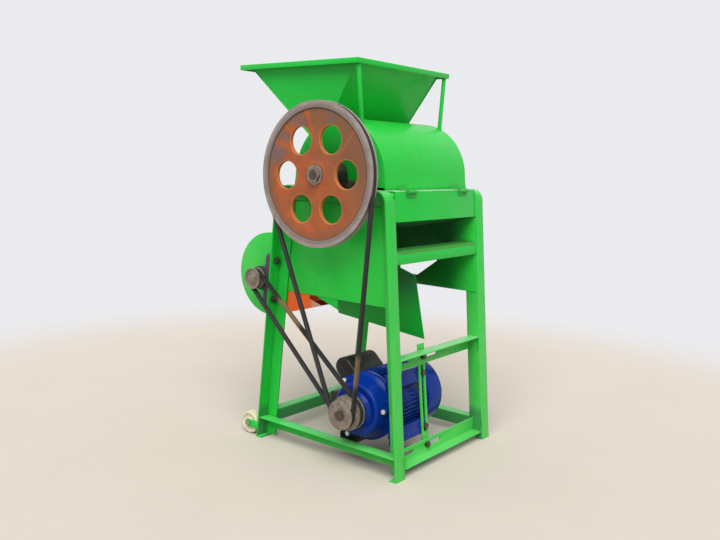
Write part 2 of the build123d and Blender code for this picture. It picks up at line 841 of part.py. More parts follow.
with BuildPart() as hinge_fixed_leaves:
    leaf_top = hinge_z - hinge_knuckle_radius - hinge_gap
    leaf_foot = leaf_top - hinge_leaf_height
    for y in hinge_places:
        with BuildSketch(across(y)):
            with BuildLine():
                Polyline((plate_x(leaf_foot), leaf_foot), (plate_x(leaf_foot) + sheet, leaf_foot),
                         (plate_x(leaf_top) + sheet, leaf_top), (plate_x(leaf_top), leaf_top), close=True)
            make_face()
        extrude(amount=hinge_length / 2, both=True)
        for end in (-1, 1):
            with BuildSketch(across(y + end * knuckle_length)):
                with Locations((hinge_x, hinge_z)):
                    Circle(hinge_knuckle_radius)
                with BuildLine():
                    Polyline((plate_x(leaf_top), leaf_top), (plate_x(hinge_z), hinge_z),
                             (hinge_x, hinge_z), (hinge_x, leaf_top), close=True)
                make_face()
                with Locations((hinge_x, hinge_z)):
                    Circle(hinge_pin_radius, mode=Mode.SUBTRACT)
            extrude(amount=(knuckle_length - hinge_play) / 2, both=True)
save(hinge_fixed_leaves.part, "hinge_fixed_leaves")

with BuildPart() as hinge_pins:
    for y in hinge_places:
        with BuildSketch(across(y)):
            with Locations((hinge_x, hinge_z)):
                Circle(hinge_pin_radius)
        extrude(amount=hinge_length / 2, both=True)
save(hinge_pins.part, "hinge_pins")

with BuildPart() as hinge_cover_leaves:
    strap_top = cover_bottom + sheet
    strap_end = hinge_x - hinge_knuckle_radius - hinge_gap
    leaf_high = cover_bottom + hinge_leaf_height
    for y in hinge_places:
        with BuildSketch(across(y)):
            with BuildLine():
                Polyline((skirt_x(cover_bottom), cover_bottom), (strap_end, cover_bottom),
                         (strap_end, strap_top), (skirt_x(strap_top) + sheet, strap_top),
                         (skirt_x(leaf_high) + sheet, leaf_high), (skirt_x(leaf_high), leaf_high), close=True)
            make_face()
        extrude(amount=hinge_length / 2, both=True)
        with BuildSketch(across(y)):
            with Locations((hinge_x, hinge_z)):
                Circle(hinge_knuckle_radius)
            with Locations((strap_end, cover_bottom)):
                Rectangle(hinge_x - strap_end, sheet, align=Align.MIN)
            with Locations((hinge_x, hinge_z)):
                Circle(hinge_pin_radius + running_fit, mode=Mode.SUBTRACT)
        extrude(amount=(knuckle_length - hinge_play) / 2, both=True)
save(hinge_cover_leaves.part, "hinge_cover_leaves")

# Fan scroll: a round shell open towards the drum, with an end disc on each side that runs on as a pointed
# cheek along the line of the lower lip
with BuildPart() as fan_scroll:
    mouth_reach = 2 * scroll_radius
    lip_way = radians(scroll_lower_lip)
    lip_x = fan_x + scroll_radius * cos(lip_way)
    lip_z = scroll_z + scroll_radius * sin(lip_way)
    disc_cut = scroll_cut_inset - leg_half(plate_bottom)
    with BuildSketch(across(0)):
        with Locations((fan_x, scroll_z)):
            Circle(scroll_radius)
            Circle(scroll_radius - sheet, mode=Mode.SUBTRACT)
        with BuildLine():
            Polyline((fan_x, scroll_z),
                     (fan_x + mouth_reach * cos(lip_way), scroll_z + mouth_reach * sin(lip_way)),
                     (fan_x + mouth_reach, scroll_z),
                     (fan_x + mouth_reach * cos(radians(scroll_upper_lip)),
                      scroll_z + mouth_reach * sin(radians(scroll_upper_lip))), close=True)
        make_face(mode=Mode.SUBTRACT)
    extrude(amount=inner_y, both=True)
    for side, hole in ((-1, shaft_radius + shaft_hole_play), (1, fan_inlet_radius)):
        with BuildSketch(across(side * inner_y)):
            with Locations((fan_x, scroll_z)):
                Circle(scroll_radius)
            with Locations((fan_x, fan_z)):
                Circle(hole, mode=Mode.SUBTRACT)
            with Locations((disc_cut, scroll_z)):
                Rectangle(mouth_reach, mouth_reach, align=(Align.MIN, Align.CENTER), mode=Mode.SUBTRACT)
            with BuildLine():
                Polyline((lip_x, lip_z),
                         (lip_x - cheek_length * sin(lip_way), lip_z + cheek_length * cos(lip_way)),
                         (cheek_right, plate_bottom - cheek_nose), (cheek_right, plate_bottom + cheek_lap),
                         (disc_cut, plate_bottom + cheek_lap), close=True)
            make_face()
        extrude(amount=side * sheet)
save(fan_scroll.part, "fan_scroll")

# Fan rotor: shaft, and paddles on a hub
fan_front_y = fan_belt_y - fan_pulley_face / 2 - fan_shaft_front_proud
fan_rear_y = half_width + fan_shaft_rear_proud
with BuildPart() as fan_shaft:
    with BuildSketch(across(fan_rear_y)):
        with Locations((fan_x, fan_z)):
            Circle(shaft_radius)
    extrude(amount=fan_rear_y - fan_front_y)
    chamfer(fan_shaft.edges().filter_by(GeomType.CIRCLE), shaft_chamfer)
save(fan_shaft.part, "fan_shaft")

with BuildPart() as fan_impeller:
    with BuildSketch(across(0)):
        with Locations((fan_x, fan_z)):
            Circle(fan_hub_radius)
            with PolarLocations(fan_blade_radius / 2, fan_blade_count):
                Rectangle(fan_blade_radius, fan_blade_thickness)
            Circle(shaft_radius, mode=Mode.SUBTRACT)
    extrude(amount=inner_y - sheet - fan_blade_gap, both=True)
save(fan_impeller.part, "fan_impeller")


def radial(x, z, y):
    """Plane through a shaft axis: local x is the radius, local y runs along the shaft."""
    return Plane(origin=(drum_x + x, frame_y + y, z), x_dir=(1, 0, 0), z_dir=(0, 0, 1))


def v_groove(radius, y):
    """Corner points of a belt groove in a pulley of that radius, centred at y along the shaft."""
    outer = radius - belt_sink
    floor = outer - belt_height - 2 * belt_play
    slope = tan(radians(belt_slope))
    floor_half = belt_width / 2 + belt_play - (outer - floor) * slope
    mouth = outer + groove_spare
    mouth_half = floor_half + (mouth - floor) * slope
    return [(floor, y - floor_half), (mouth, y - mouth_half), (mouth, y + mouth_half),
            (floor, y + floor_half)]


def turned(x, z, y, outline, grooves):
    """Turned piece on a shaft: closed outline of (radius, along), less its belt grooves."""
    plane = radial(x, z, y)
    with BuildPart() as piece:
        with BuildSketch(plane):
            with BuildLine():
                Polyline(*outline, close=True)
            make_face()
            for groove in grooves:
                with BuildLine():
                    Polyline(*groove, close=True)
                make_face(mode=Mode.SUBTRACT)
        revolve(axis=Axis(plane.origin, (0, 1, 0)))
    return piece.part


# Drum pulley: flat rim with one groove, a web with round holes just behind its front, and a hub
rim_half = drum_pulley_face / 2
web_front = drum_pulley_recess - rim_half
web_rear = web_front + drum_pulley_web
rim_inner = drum_pulley_radius - drum_pulley_rim
hub_front = hub_front_y - drum_belt_y
hub_rear = hub_front + drum_pulley_hub_length
with BuildPart() as drum_pulley:
    add(turned(0, drum_z, drum_belt_y, [
        (shaft_radius, hub_front), (drum_pulley_hub_radius, hub_front), (drum_pulley_hub_radius, web_front),
        (rim_inner, web_front), (rim_inner, -rim_half), (drum_pulley_radius, -rim_half),
        (drum_pulley_radius, rim_half), (rim_inner, rim_half), (rim_inner, web_rear),
        (drum_pulley_hub_radius, web_rear), (drum_pulley_hub_radius, hub_rear), (shaft_radius, hub_rear),
    ], [v_groove(drum_pulley_radius, 0)]))
    with BuildSketch(across(drum_belt_y)):
        with Locations((0, drum_z)):
            with PolarLocations(pulley_hole_circle, pulley_hole_count, start_angle=pulley_hole_turn):
                Circle(pulley_hole_radius)
    extrude(amount=drum_pulley_face, both=True, mode=Mode.SUBTRACT)
save(drum_pulley.part, "drum_pulley")

with BuildPart() as shaft_washer:
    with BuildSketch(across(hub_front_y)):
        with Locations((0, drum_z)):
            Circle(washer_radius)
            Circle(shaft_radius, mode=Mode.SUBTRACT)
    extrude(amount=washer_thickness)
save(shaft_washer.part, "shaft_washer")

with BuildPart() as shaft_nut:
    with BuildSketch(across(hub_front_y - washer_thickness)):
        with Locations((0, drum_z)):
            RegularPolygon(shaft_nut_radius, 6)
            Circle(shaft_radius, mode=Mode.SUBTRACT)
    extrude(amount=shaft_nut_height)
save(shaft_nut.part, "shaft_nut")

fan_half = fan_pulley_face / 2
save(turned(fan_x, fan_z, fan_belt_y, [
    (shaft_radius, -fan_half), (fan_pulley_radius, -fan_half), (fan_pulley_radius, fan_half),
    (shaft_radius, fan_half)], [v_groove(fan_pulley_radius, 0)]), "fan_pulley")

# Motor pulley: a small groove for the drum belt in front of a larger one for the fan belt
save(turned(motor_x, motor_height, drum_belt_y, [
    (motor_shaft_radius, -motor_pulley_end), (motor_front_radius, -motor_pulley_end),
    (motor_front_radius, belt_pitch / 2), (motor_rear_radius, belt_pitch / 2),
    (motor_rear_radius, belt_pitch + motor_pulley_end),
    (motor_shaft_radius, belt_pitch + motor_pulley_end)],
    [v_groove(motor_front_radius, 0), v_groove(motor_rear_radius, belt_pitch)]), "motor_pulley")


def belt_line(first, second, grow):
    """Outline of an open belt round two circles (x, z, radius), grown outward by grow."""
    (x1, z1, r1), (x2, z2, r2) = first, second
    heading = atan2(z2 - z1, x2 - x1)
    spread = acos((r1 - r2) / hypot(x2 - x1, z2 - z1))

    def first_at(angle):
        return (x1 + (r1 + grow) * cos(angle), z1 + (r1 + grow) * sin(angle))

    def second_at(angle):
        return (x2 + (r2 + grow) * cos(angle), z2 + (r2 + grow) * sin(angle))

    with BuildSketch() as outline:
        with BuildLine():
            Line(first_at(heading + spread), second_at(heading + spread))
            ThreePointArc(second_at(heading + spread), second_at(heading), second_at(heading - spread))
            Line(second_at(heading - spread), first_at(heading - spread))
            ThreePointArc(first_at(heading - spread), first_at(heading + pi), first_at(heading + spread))
        make_face()
    return outline.sketch


def v_belt(first, second, y):
    """Wedge belt round two circles of its outer face, centred at y along the shafts."""
    low_half = belt_width / 2 - belt_height * tan(radians(belt_slope))
    with BuildPart() as belt:
        with BuildSketch(across(y)):
            add(belt_line(first, second, 0))
        extrude(amount=belt_width / 2, both=True)
        with BuildSketch(across(y)):
            add(belt_line(first, second, -belt_height))
        extrude(amount=low_half, both=True, mode=Mode.SUBTRACT)
        for way in (-1, 1):
            with BuildSketch(across(y + way * low_half)):
                add(belt_line(first, second, -belt_height))
            with BuildSketch(across(y + way * belt_width / 2)):
                add(belt_line(first, second, -belt_edge))
            loft(ruled=True, mode=Mode.SUBTRACT)
    return belt.part


drum_sheave = (0, drum_z, drum_pulley_radius - belt_sink)
motor_front_sheave = (motor_x, motor_height, motor_front_radius - belt_sink)
motor_rear_sheave = (motor_x, motor_height, motor_rear_radius - belt_sink)
fan_sheave = (fan_x, fan_z, fan_pulley_radius - belt_sink)
save(v_belt(drum_sheave, motor_front_sheave, drum_belt_y), "drum_belt")
save(v_belt(motor_rear_sheave, fan_sheave, fan_belt_y), "fan_belt")

# Slotted bars that carry the motor between the two cross bars
foot_rise = (slotted_bar_wall + motor_axis_to_foot) * tan(bar_tilt)
upper_bolt = foot_rise + motor_foot_pitch_up / 2
lower_bolt = foot_rise - motor_foot_pitch_up / 2
foot_places = (front_foot_y, rear_foot_y)


def along_bar(z):
    """Distance up a slotted bar, from the motor's height, of a point at height z."""
    return (z - motor_height) / cos(bar_tilt)


with BuildPart() as slotted_bars:
    for y in foot_places:
        with BuildSketch(bar_plane(0)):
            with Locations((-y, along_bar((slotted_bar_top + slotted_bar_bottom) / 2))):
                Rectangle(slotted_bar_width, along_bar(slotted_bar_top) - along_bar(slotted_bar_bottom))
            with Locations((-y, foot_rise + slot_shift)):
                SlotOverall(slot_length, 2 * slot_radius, rotation=90, mode=Mode.SUBTRACT)
            with Locations((-y, along_bar(mid_slot_z)), (-y, along_bar(low_slot_z))):
                Circle(slot_radius, mode=Mode.SUBTRACT)
        extrude(amount=slotted_bar_wall)
save(slotted_bars.part, "slotted_bars")

bar_bolts = []
for y in foot_places:
    for back, slot_z, touch_z in ((mid_back, mid_slot_z, mid_bar_bottom),
                                  (low_back, low_slot_z, slotted_bar_bottom)):
        head_plane = Plane(origin=(drum_x + back + bar_wall, frame_y + y, slot_z), x_dir=(0, 1, 0),
                           z_dir=(1, 0, 0))
        lean = (slot_z - touch_z + 2 * mount_bolt_radius) * tan(bar_tilt)
        grip = bar_wall + lean + slotted_bar_wall / cos(bar_tilt)
        bar_bolts.append(hex_bolt(head_plane, mount_bolt_radius, grip))
save(Compound(children=bar_bolts), "bar_bolts")

motor_bolts = []
for y in foot_places:
    for rise in (upper_bolt, lower_bolt):
        spot = bar_plane(0).from_local_coords(Vector(-y, rise, 0))
        head_plane = Plane(origin=spot, x_dir=(0, 1, 0), z_dir=-bar_plane(0).z_dir)
        motor_bolts.append(hex_bolt(head_plane, mount_bolt_radius, slotted_bar_wall + motor_foot_thickness))
save(Compound(children=motor_bolts), "motor_bolts")

# Motor body with cooling fins, saddles for the capacitor covers, and two foot rails
with BuildPart() as motor_body:
    body_length = motor_body_rear_y - motor_body_front_y
    with BuildSketch(motor_plane(motor_body_rear_y)):
        Circle(motor_body_radius)
        with PolarLocations(motor_body_radius, int(2 * motor_fin_sector / motor_fin_step) + 1,
                            start_angle=-motor_fin_sector, angular_range=2 * motor_fin_sector, endpoint=True):
            Rectangle(2 * motor_fin_height, motor_fin_width)
        for up in (-1, 1):
            with Locations((motor_axis_to_foot - motor_foot_thickness, up * motor_foot_inner)):
                Rectangle(motor_foot_web_reach, motor_foot_web, align=(
                    Align.MAX, Align.MIN if up == 1 else Align.MAX))
        Circle(motor_bore_radius, mode=Mode.SUBTRACT)
    extrude(amount=body_length)
    with BuildSketch(motor_plane(motor_body_rear_y - saddle_inset)):
        with PolarLocations(motor_body_radius, 2, start_angle=180 - capacitor_angle,
                            angular_range=2 * capacitor_angle, endpoint=True):
            Rectangle(2 * motor_body_radius, saddle_width)
        Circle(shield_radius, mode=Mode.INTERSECT)
        Circle(motor_bore_radius, mode=Mode.SUBTRACT)
    extrude(amount=body_length - 2 * saddle_inset)
    pad_front = front_foot_y - slotted_bar_width / 2
    pad_rear = rear_foot_y + slotted_bar_width / 2
    with BuildSketch(motor_plane(pad_rear)):
        for up in (-1, 1):
            with Locations((motor_axis_to_foot, up * motor_foot_inner)):
                Rectangle(motor_foot_thickness, motor_foot_width, align=(
                    Align.MAX, Align.MIN if up == 1 else Align.MAX))
    extrude(amount=pad_rear - pad_front)
    with BuildSketch(bar_plane(slotted_bar_wall)):
        with Locations(*[(-y, rise) for y in foot_places for rise in (upper_bolt, lower_bolt)]):
            Circle(mount_bolt_radius + bolt_hole_play)
    extrude(amount=motor_foot_thickness, mode=Mode.SUBTRACT)
save(motor_body.part, "motor_body")


def motor_turned(outline):
    """Turned piece on the motor shaft: closed outline of (radius, y)."""
    return turned(motor_x, motor_height, 0, outline, [])


# Motor end shields, the front one with three screw lugs
journal = motor_shaft_radius + motor_shoulder
shield_bore = journal + running_fit
lug_front_y = motor_body_front_y - lug_length
with BuildPart() as motor_front_shield:
    add(motor_turned([
        (shield_bore, motor_shoulder_y + shield_nose_start),
        (shield_nose_radius, motor_shoulder_y + shield_nose_start),
        (shield_neck_radius, motor_shoulder_y + shield_neck_start),
        (shield_face_radius, motor_shoulder_y + shield_face_start),
        (motor_body_radius, motor_shoulder_y + shield_slope_start),
        (shield_radius, motor_shoulder_y + shield_rim_start),
        (shield_radius, motor_body_front_y), (shield_bore, motor_body_front_y)]))
    shield_circles = motor_front_shield.edges().filter_by(GeomType.CIRCLE)
    fillet(shield_circles.sort_by(lambda edge: abs(edge.radius - shield_face_radius))[0], shield_face_round)
    with BuildSketch(motor_plane(motor_body_front_y)):
        with PolarLocations(lug_circle, lug_count):
            Circle(lug_radius)
    extrude(amount=lug_length)
save(motor_front_shield.part, "motor_front_shield")

with BuildPart() as shield_screws:
    with BuildSketch(motor_plane(lug_front_y)):
        with PolarLocations(lug_circle, lug_count):
            RegularPolygon(screw_head_radius, 6)
    extrude(amount=screw_head_height)
save(shield_screws.part, "shield_screws")

rear_shield_y = motor_body_rear_y + rear_shield_thickness
cover_inner_radius = shield_radius - sheet
save(motor_turned([
    (shield_bore, motor_body_rear_y), (cover_inner_radius, motor_body_rear_y),
    (cover_inner_radius, rear_shield_y), (shield_bore, rear_shield_y)]), "motor_rear_shield")

# Fan cover on the back of the motor, with air holes
with BuildPart() as motor_fan_cover:
    add(motor_turned([
        (cover_inner_radius, motor_body_rear_y), (shield_radius, motor_body_rear_y),
        (shield_radius, motor_rear_y - fan_cover_dome),
        (shield_radius - fan_cover_dome, motor_rear_y), (0, motor_rear_y), (0, motor_rear_y - sheet),
        (shield_radius - fan_cover_dome - sheet / 2, motor_rear_y - sheet),
        (cover_inner_radius, motor_rear_y - fan_cover_dome - sheet / 2)]))
    with BuildSketch(motor_plane(motor_rear_y)):
        for circle, count in air_hole_rings:
            with PolarLocations(circle, count):
                Circle(air_hole_radius)
    extrude(amount=2 * sheet, both=True, mode=Mode.SUBTRACT)
save(motor_fan_cover.part, "motor_fan_cover")

# Rotor with its shaft, and the cooling fan behind it
core_front_y = motor_body_front_y + motor_core_inset
core_rear_y = motor_body_rear_y - motor_core_inset
cooling_rear_y = motor_rear_y - fan_cover_dome
core_radius = motor_bore_radius - motor_air_gap
save(motor_turned([
    (0, motor_shoulder_y - motor_shaft_reach), (motor_shaft_radius, motor_shoulder_y - motor_shaft_reach),
    (motor_shaft_radius, motor_shoulder_y), (journal, motor_shoulder_y), (journal, core_front_y),
    (core_radius, core_front_y), (core_radius, core_rear_y), (journal, core_rear_y),
    (journal, rear_shield_y), (motor_shaft_radius, rear_shield_y), (motor_shaft_radius, cooling_rear_y),
    (0, cooling_rear_y)]), "motor_rotor")

with BuildPart() as motor_fan:
    with BuildSketch(motor_plane(cooling_rear_y)):
        Circle(cooling_hub_radius)
        with PolarLocations(cooling_blade_radius / 2, cooling_blade_count):
            Rectangle(cooling_blade_radius, sheet)
        Circle(motor_shaft_radius, mode=Mode.SUBTRACT)
    extrude(amount=cooling_fan_width)
save(motor_fan.part, "motor_fan")

# Capacitor covers on the side away from the feet
with BuildPart() as capacitor_covers:
    round_centre = capacitor_top - capacitor_radius
    root = motor_body_radius / 2
    capacitor_rear_y = motor_shoulder_y + capacitor_start + capacitor_length
    with BuildSketch(motor_plane(capacitor_rear_y)):
        with PolarLocations(round_centre, 2, start_angle=180 - capacitor_angle,
                            angular_range=2 * capacitor_angle, endpoint=True):
            Circle(capacitor_radius)
        with PolarLocations((root + round_centre) / 2, 2, start_angle=180 - capacitor_angle,
                            angular_range=2 * capacitor_angle, endpoint=True):
            Rectangle(round_centre - root, 2 * capacitor_radius)
        Circle(shield_radius, mode=Mode.SUBTRACT)
    extrude(amount=capacitor_length)
    fillet(capacitor_covers.faces().filter_by(Axis.Y).edges().filter_by(GeomType.CIRCLE)
           .filter_by(lambda edge: edge.radius < motor_body_radius), capacitor_edge)
save(capacitor_covers.part, "capacitor_covers")

# Terminal box with its cable gland, between the capacitor covers
terminal_rear_y = motor_body_front_y + terminal_start + terminal_length
with BuildPart() as terminal_box:
    with BuildSketch(motor_plane(terminal_rear_y)):
        with Locations((-motor_body_radius - terminal_depth, 0)):
            Rectangle(2 * terminal_depth, terminal_width, align=(Align.MIN, Align.CENTER))
        Circle(motor_body_radius, mode=Mode.SUBTRACT)
    extrude(amount=terminal_length)
    fillet(terminal_box.faces().sort_by(Axis.X)[0].edges(), terminal_edge)
save(terminal_box.part, "terminal_box")

with BuildPart() as cable_gland:
    with BuildSketch(motor_plane(terminal_rear_y)):
        with Locations((-motor_body_radius - terminal_depth / 2, 0)):
            RegularPolygon(gland_radius, 6)
    extrude(amount=-gland_length / 2)
    with BuildSketch(motor_plane(terminal_rear_y + gland_length / 2)):
        with Locations((-motor_body_radius - terminal_depth / 2, 0)):
            Circle(gland_sleeve_radius)
            Circle(gland_bore_radius, mode=Mode.SUBTRACT)
    extrude(amount=-gland_length / 2)
save(cable_gland.part, "cable_gland")

# Transport wheels with their brackets and axles
axle_z = wheel_radius + wheel_clearance
axle_x = -leg_half(axle_z) - wheel_out
outer_bracket_y = half_width - bracket_wall
inner_bracket_y = outer_bracket_y - wheel_width - 2 * wheel_side_play - bracket_wall
wheel_middle = half_width - bracket_wall - wheel_side_play - wheel_width / 2
bracket_low = axle_z - bracket_end_radius
bracket_root = axle_z + bracket_root_rise
with BuildPart() as wheel_brackets:
    for start in (-half_width, -inner_bracket_y - bracket_wall, inner_bracket_y, outer_bracket_y):
        with BuildSketch(across(start)):
            with BuildLine():
                Polyline((-leg_half(bracket_root), bracket_root), (-leg_half(bracket_low), bracket_low),
                         (axle_x, bracket_low), (axle_x, axle_z + bracket_end_radius), close=True)
            make_face()
            with Locations((axle_x, axle_z)):
                Circle(bracket_end_radius)
                Circle(axle_radius, mode=Mode.SUBTRACT)
        extrude(amount=-bracket_wall)
save(wheel_brackets.part, "wheel_brackets")

with BuildPart() as wheel_axles:
    for side in (-1, 1):
        with BuildSketch(across(side * half_width)):
            with Locations((axle_x, axle_z)):
                Circle(axle_radius)
        extrude(amount=side * (half_width - inner_bracket_y))
        for start, way in ((half_width, -1), (inner_bracket_y, 1)):
            with BuildSketch(across(side * start)):
                with Locations((axle_x, axle_z)):
                    RegularPolygon(axle_head_radius, 6)
            extrude(amount=side * way * axle_head_height)
save(wheel_axles.part, "wheel_axles")

for name, side in (("wheel_front", -1), ("wheel_rear", 1)):
    with BuildPart() as wheel:
        with BuildSketch(across(side * wheel_middle)):
            with Locations((axle_x, axle_z)):
                Circle(wheel_radius)
        extrude(amount=wheel_width / 2, both=True)
        chamfer(wheel.edges().filter_by(GeomType.CIRCLE), wheel_edge)
        with BuildSketch(across(side * wheel_middle)):
            with Locations((axle_x, axle_z)):
                Circle(axle_radius + running_fit)
        extrude(amount=wheel_width, both=True, mode=Mode.SUBTRACT)
    save(wheel.part, name)
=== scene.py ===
"""Looks of a motor-driven peanut sheller, dressed over its packed construction.

Lengths are metres in the part's own frame: +Z up, -Y the belt side, +X the end where shells come out.
"""
import json
from math import cos, pi, radians, sin, tan

import bpy
import numpy as np
from mathutils import Matrix, Vector


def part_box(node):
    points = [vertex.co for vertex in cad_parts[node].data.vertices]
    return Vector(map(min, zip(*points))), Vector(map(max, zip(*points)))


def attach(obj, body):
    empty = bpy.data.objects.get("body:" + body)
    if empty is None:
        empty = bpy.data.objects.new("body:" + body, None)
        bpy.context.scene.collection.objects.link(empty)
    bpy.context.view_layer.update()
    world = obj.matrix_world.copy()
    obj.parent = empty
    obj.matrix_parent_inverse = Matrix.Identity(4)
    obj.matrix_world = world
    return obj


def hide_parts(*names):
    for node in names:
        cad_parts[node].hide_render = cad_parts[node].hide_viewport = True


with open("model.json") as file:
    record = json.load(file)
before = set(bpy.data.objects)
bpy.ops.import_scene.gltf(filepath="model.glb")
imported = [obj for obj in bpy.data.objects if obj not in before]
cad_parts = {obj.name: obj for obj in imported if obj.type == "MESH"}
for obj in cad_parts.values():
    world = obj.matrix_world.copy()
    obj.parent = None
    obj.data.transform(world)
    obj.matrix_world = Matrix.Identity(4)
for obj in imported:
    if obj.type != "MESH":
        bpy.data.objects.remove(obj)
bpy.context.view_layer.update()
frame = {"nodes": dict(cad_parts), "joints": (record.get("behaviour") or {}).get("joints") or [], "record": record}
nodes = frame["nodes"]

# Places taken from the frame
joint_at = {joint["name"]: Vector(joint["pos_m"]) for joint in frame["joints"]}
drum_axis = joint_at["drum_spin"]
motor_axis = joint_at["motor_spin"]
fan_axis = joint_at["fan_spin"]
front_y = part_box("side_frame_front")[0].y
rear_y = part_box("side_frame_rear")[1].y
stand_middle_y = (front_y + rear_y) / 2
scroll_low, scroll_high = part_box("fan_scroll")
scroll_centre = Vector((fan_axis.x, stand_middle_y, (scroll_low.z + scroll_high.z) / 2))
scroll_radius = (scroll_high.z - scroll_low.z) / 2
outlet_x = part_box("outlet_end_plate")[1].x
lip_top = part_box("outlet_end_plate")[1].z
bar_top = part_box("upper_cross_bar")[1].z
drum_belt_y = sum(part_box("drum_belt"), Vector()).y / 2
fan_belt_y = sum(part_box("fan_belt"), Vector()).y / 2

# Holes of the drum pulley: how many, radius of the circle they stand on, their own radius and turn
pulley_holes = 6
pulley_hole_circle = 0.095
pulley_hole_radius = 0.034
pulley_hole_turn = radians(2.0)

# Stretches of the belts where the rubber is worn through: place, reach and strength
fan_run = (motor_axis - fan_axis).normalized()
fan_run_out = Vector((-fan_run.z, 0, fan_run.x))
fan_run_place = fan_axis.lerp(motor_axis, 0.33) + fan_run_out * 0.033
drum_run_place = Vector((motor_axis.x + 0.042, 0, 0.264))
worn_stretches = [(Vector((p.x, y, p.z)), reach, share) for p, y, reach, share in (
    (fan_run_place, fan_belt_y, 0.050, 0.85), (drum_run_place, drum_belt_y, 0.040, 0.70))]

# Colours as linear red, green, blue
GREEN = (0.014, 0.660, 0.062, 1)
GREEN_DEEP = (0.012, 0.570, 0.048, 1)
# Paler green, painted light that makes up for the shade cast on the side walls
GREEN_PAINTED_LIGHT = (0.052, 0.780, 0.078, 1)
GREEN_FADED = (0.110, 0.640, 0.110, 1)
GREEN_PALE = (0.480, 0.820, 0.500, 1)
# Dull green: the darker tone of the hinge leaves, and painted shade below the bar inside the outlet
GREEN_DULL = (0.012, 0.300, 0.042, 1)
# Cold dark green, painted shade on the chute up under the machine
GREEN_CHUTE_SHADE = (0.008, 0.130, 0.050, 1)
GREEN_SHADE = (0.046, 0.260, 0.080, 1)
# Darker painted shade, in patches, deep inside the machine
GREEN_DARKER_SHADE = (0.034, 0.130, 0.046, 1)
GREEN_OLIVE = (0.065, 0.280, 0.036, 1)
# Dark colour of grime and painted shade in closed-in corners
GRIME_AND_SHADE = (0.022, 0.040, 0.013, 1)
ORANGE_PRIMER = (1.0, 0.150, 0.026, 1)
ORANGE_DULL = (0.90, 0.115, 0.022, 1)
RUST_BRIGHT = (0.520, 0.112, 0.023, 1)
RUST_MIDDLE = (0.340, 0.088, 0.026, 1)
# Pale rust, painted highlight round the pulley's holes
RUST_HOLE_HIGHLIGHT = (0.700, 0.200, 0.050, 1)
RUST_BROWN = (0.220, 0.105, 0.048, 1)
RUST_DARK = (0.190, 0.070, 0.036, 1)
SCALE_GREY = (0.180, 0.128, 0.118, 1)
IRON_GREY = (0.250, 0.190, 0.165, 1)
IRON_PALE = (0.440, 0.390, 0.355, 1)
IRON_DARK = (0.060, 0.052, 0.050, 1)
BLACK_COAT = (0.012, 0.012, 0.014, 1)
BLUE = (0.001, 0.040, 0.360, 1)
BLUE_DEEP = (0.001, 0.022, 0.200, 1)
# Pale blue painted highlight on the motor's edges
BLUE_EDGE_HIGHLIGHT = (0.120, 0.240, 0.600, 1)
BLACK_MOULDED = (0.009, 0.008, 0.0075, 1)
RUBBER = (0.016, 0.015, 0.015, 1)
RUBBER_WORN = (0.060, 0.042, 0.030, 1)
CANVAS = (0.290, 0.175, 0.090, 1)
ZINC = (0.50, 0.48, 0.45, 1)
ZINC_BRIGHT = (0.86, 0.88, 0.92, 1)
ZINC_DULL = (0.30, 0.27, 0.24, 1)
STEEL_BROWN = (0.130, 0.095, 0.075, 1)
STEEL_DUSTY = (0.085, 0.090, 0.070, 1)
STEEL_WORN = (0.360, 0.300, 0.245, 1)
STEEL_STAINED = (0.180, 0.140, 0.105, 1)
BEARING_GREY = (0.085, 0.080, 0.110, 1)
CREAM = (0.82, 0.76, 0.54, 1)
CREAM_DIRTY = (0.56, 0.48, 0.31, 1)
# Pale tan, painted highlight on the tips of the fan casing
TAN_HIGHLIGHT = (0.55, 0.36, 0.27, 1)
DUST = (0.46, 0.38, 0.28, 1)
FLOOR = (0.70, 0.625, 0.540, 1)
FLOOR_SHADE = (0.66, 0.585, 0.505, 1)
FLOOR_BOUNCE = (0.36, 0.33, 0.30, 1)
WHITE_SKY = (0.965, 0.97, 1.0, 1)


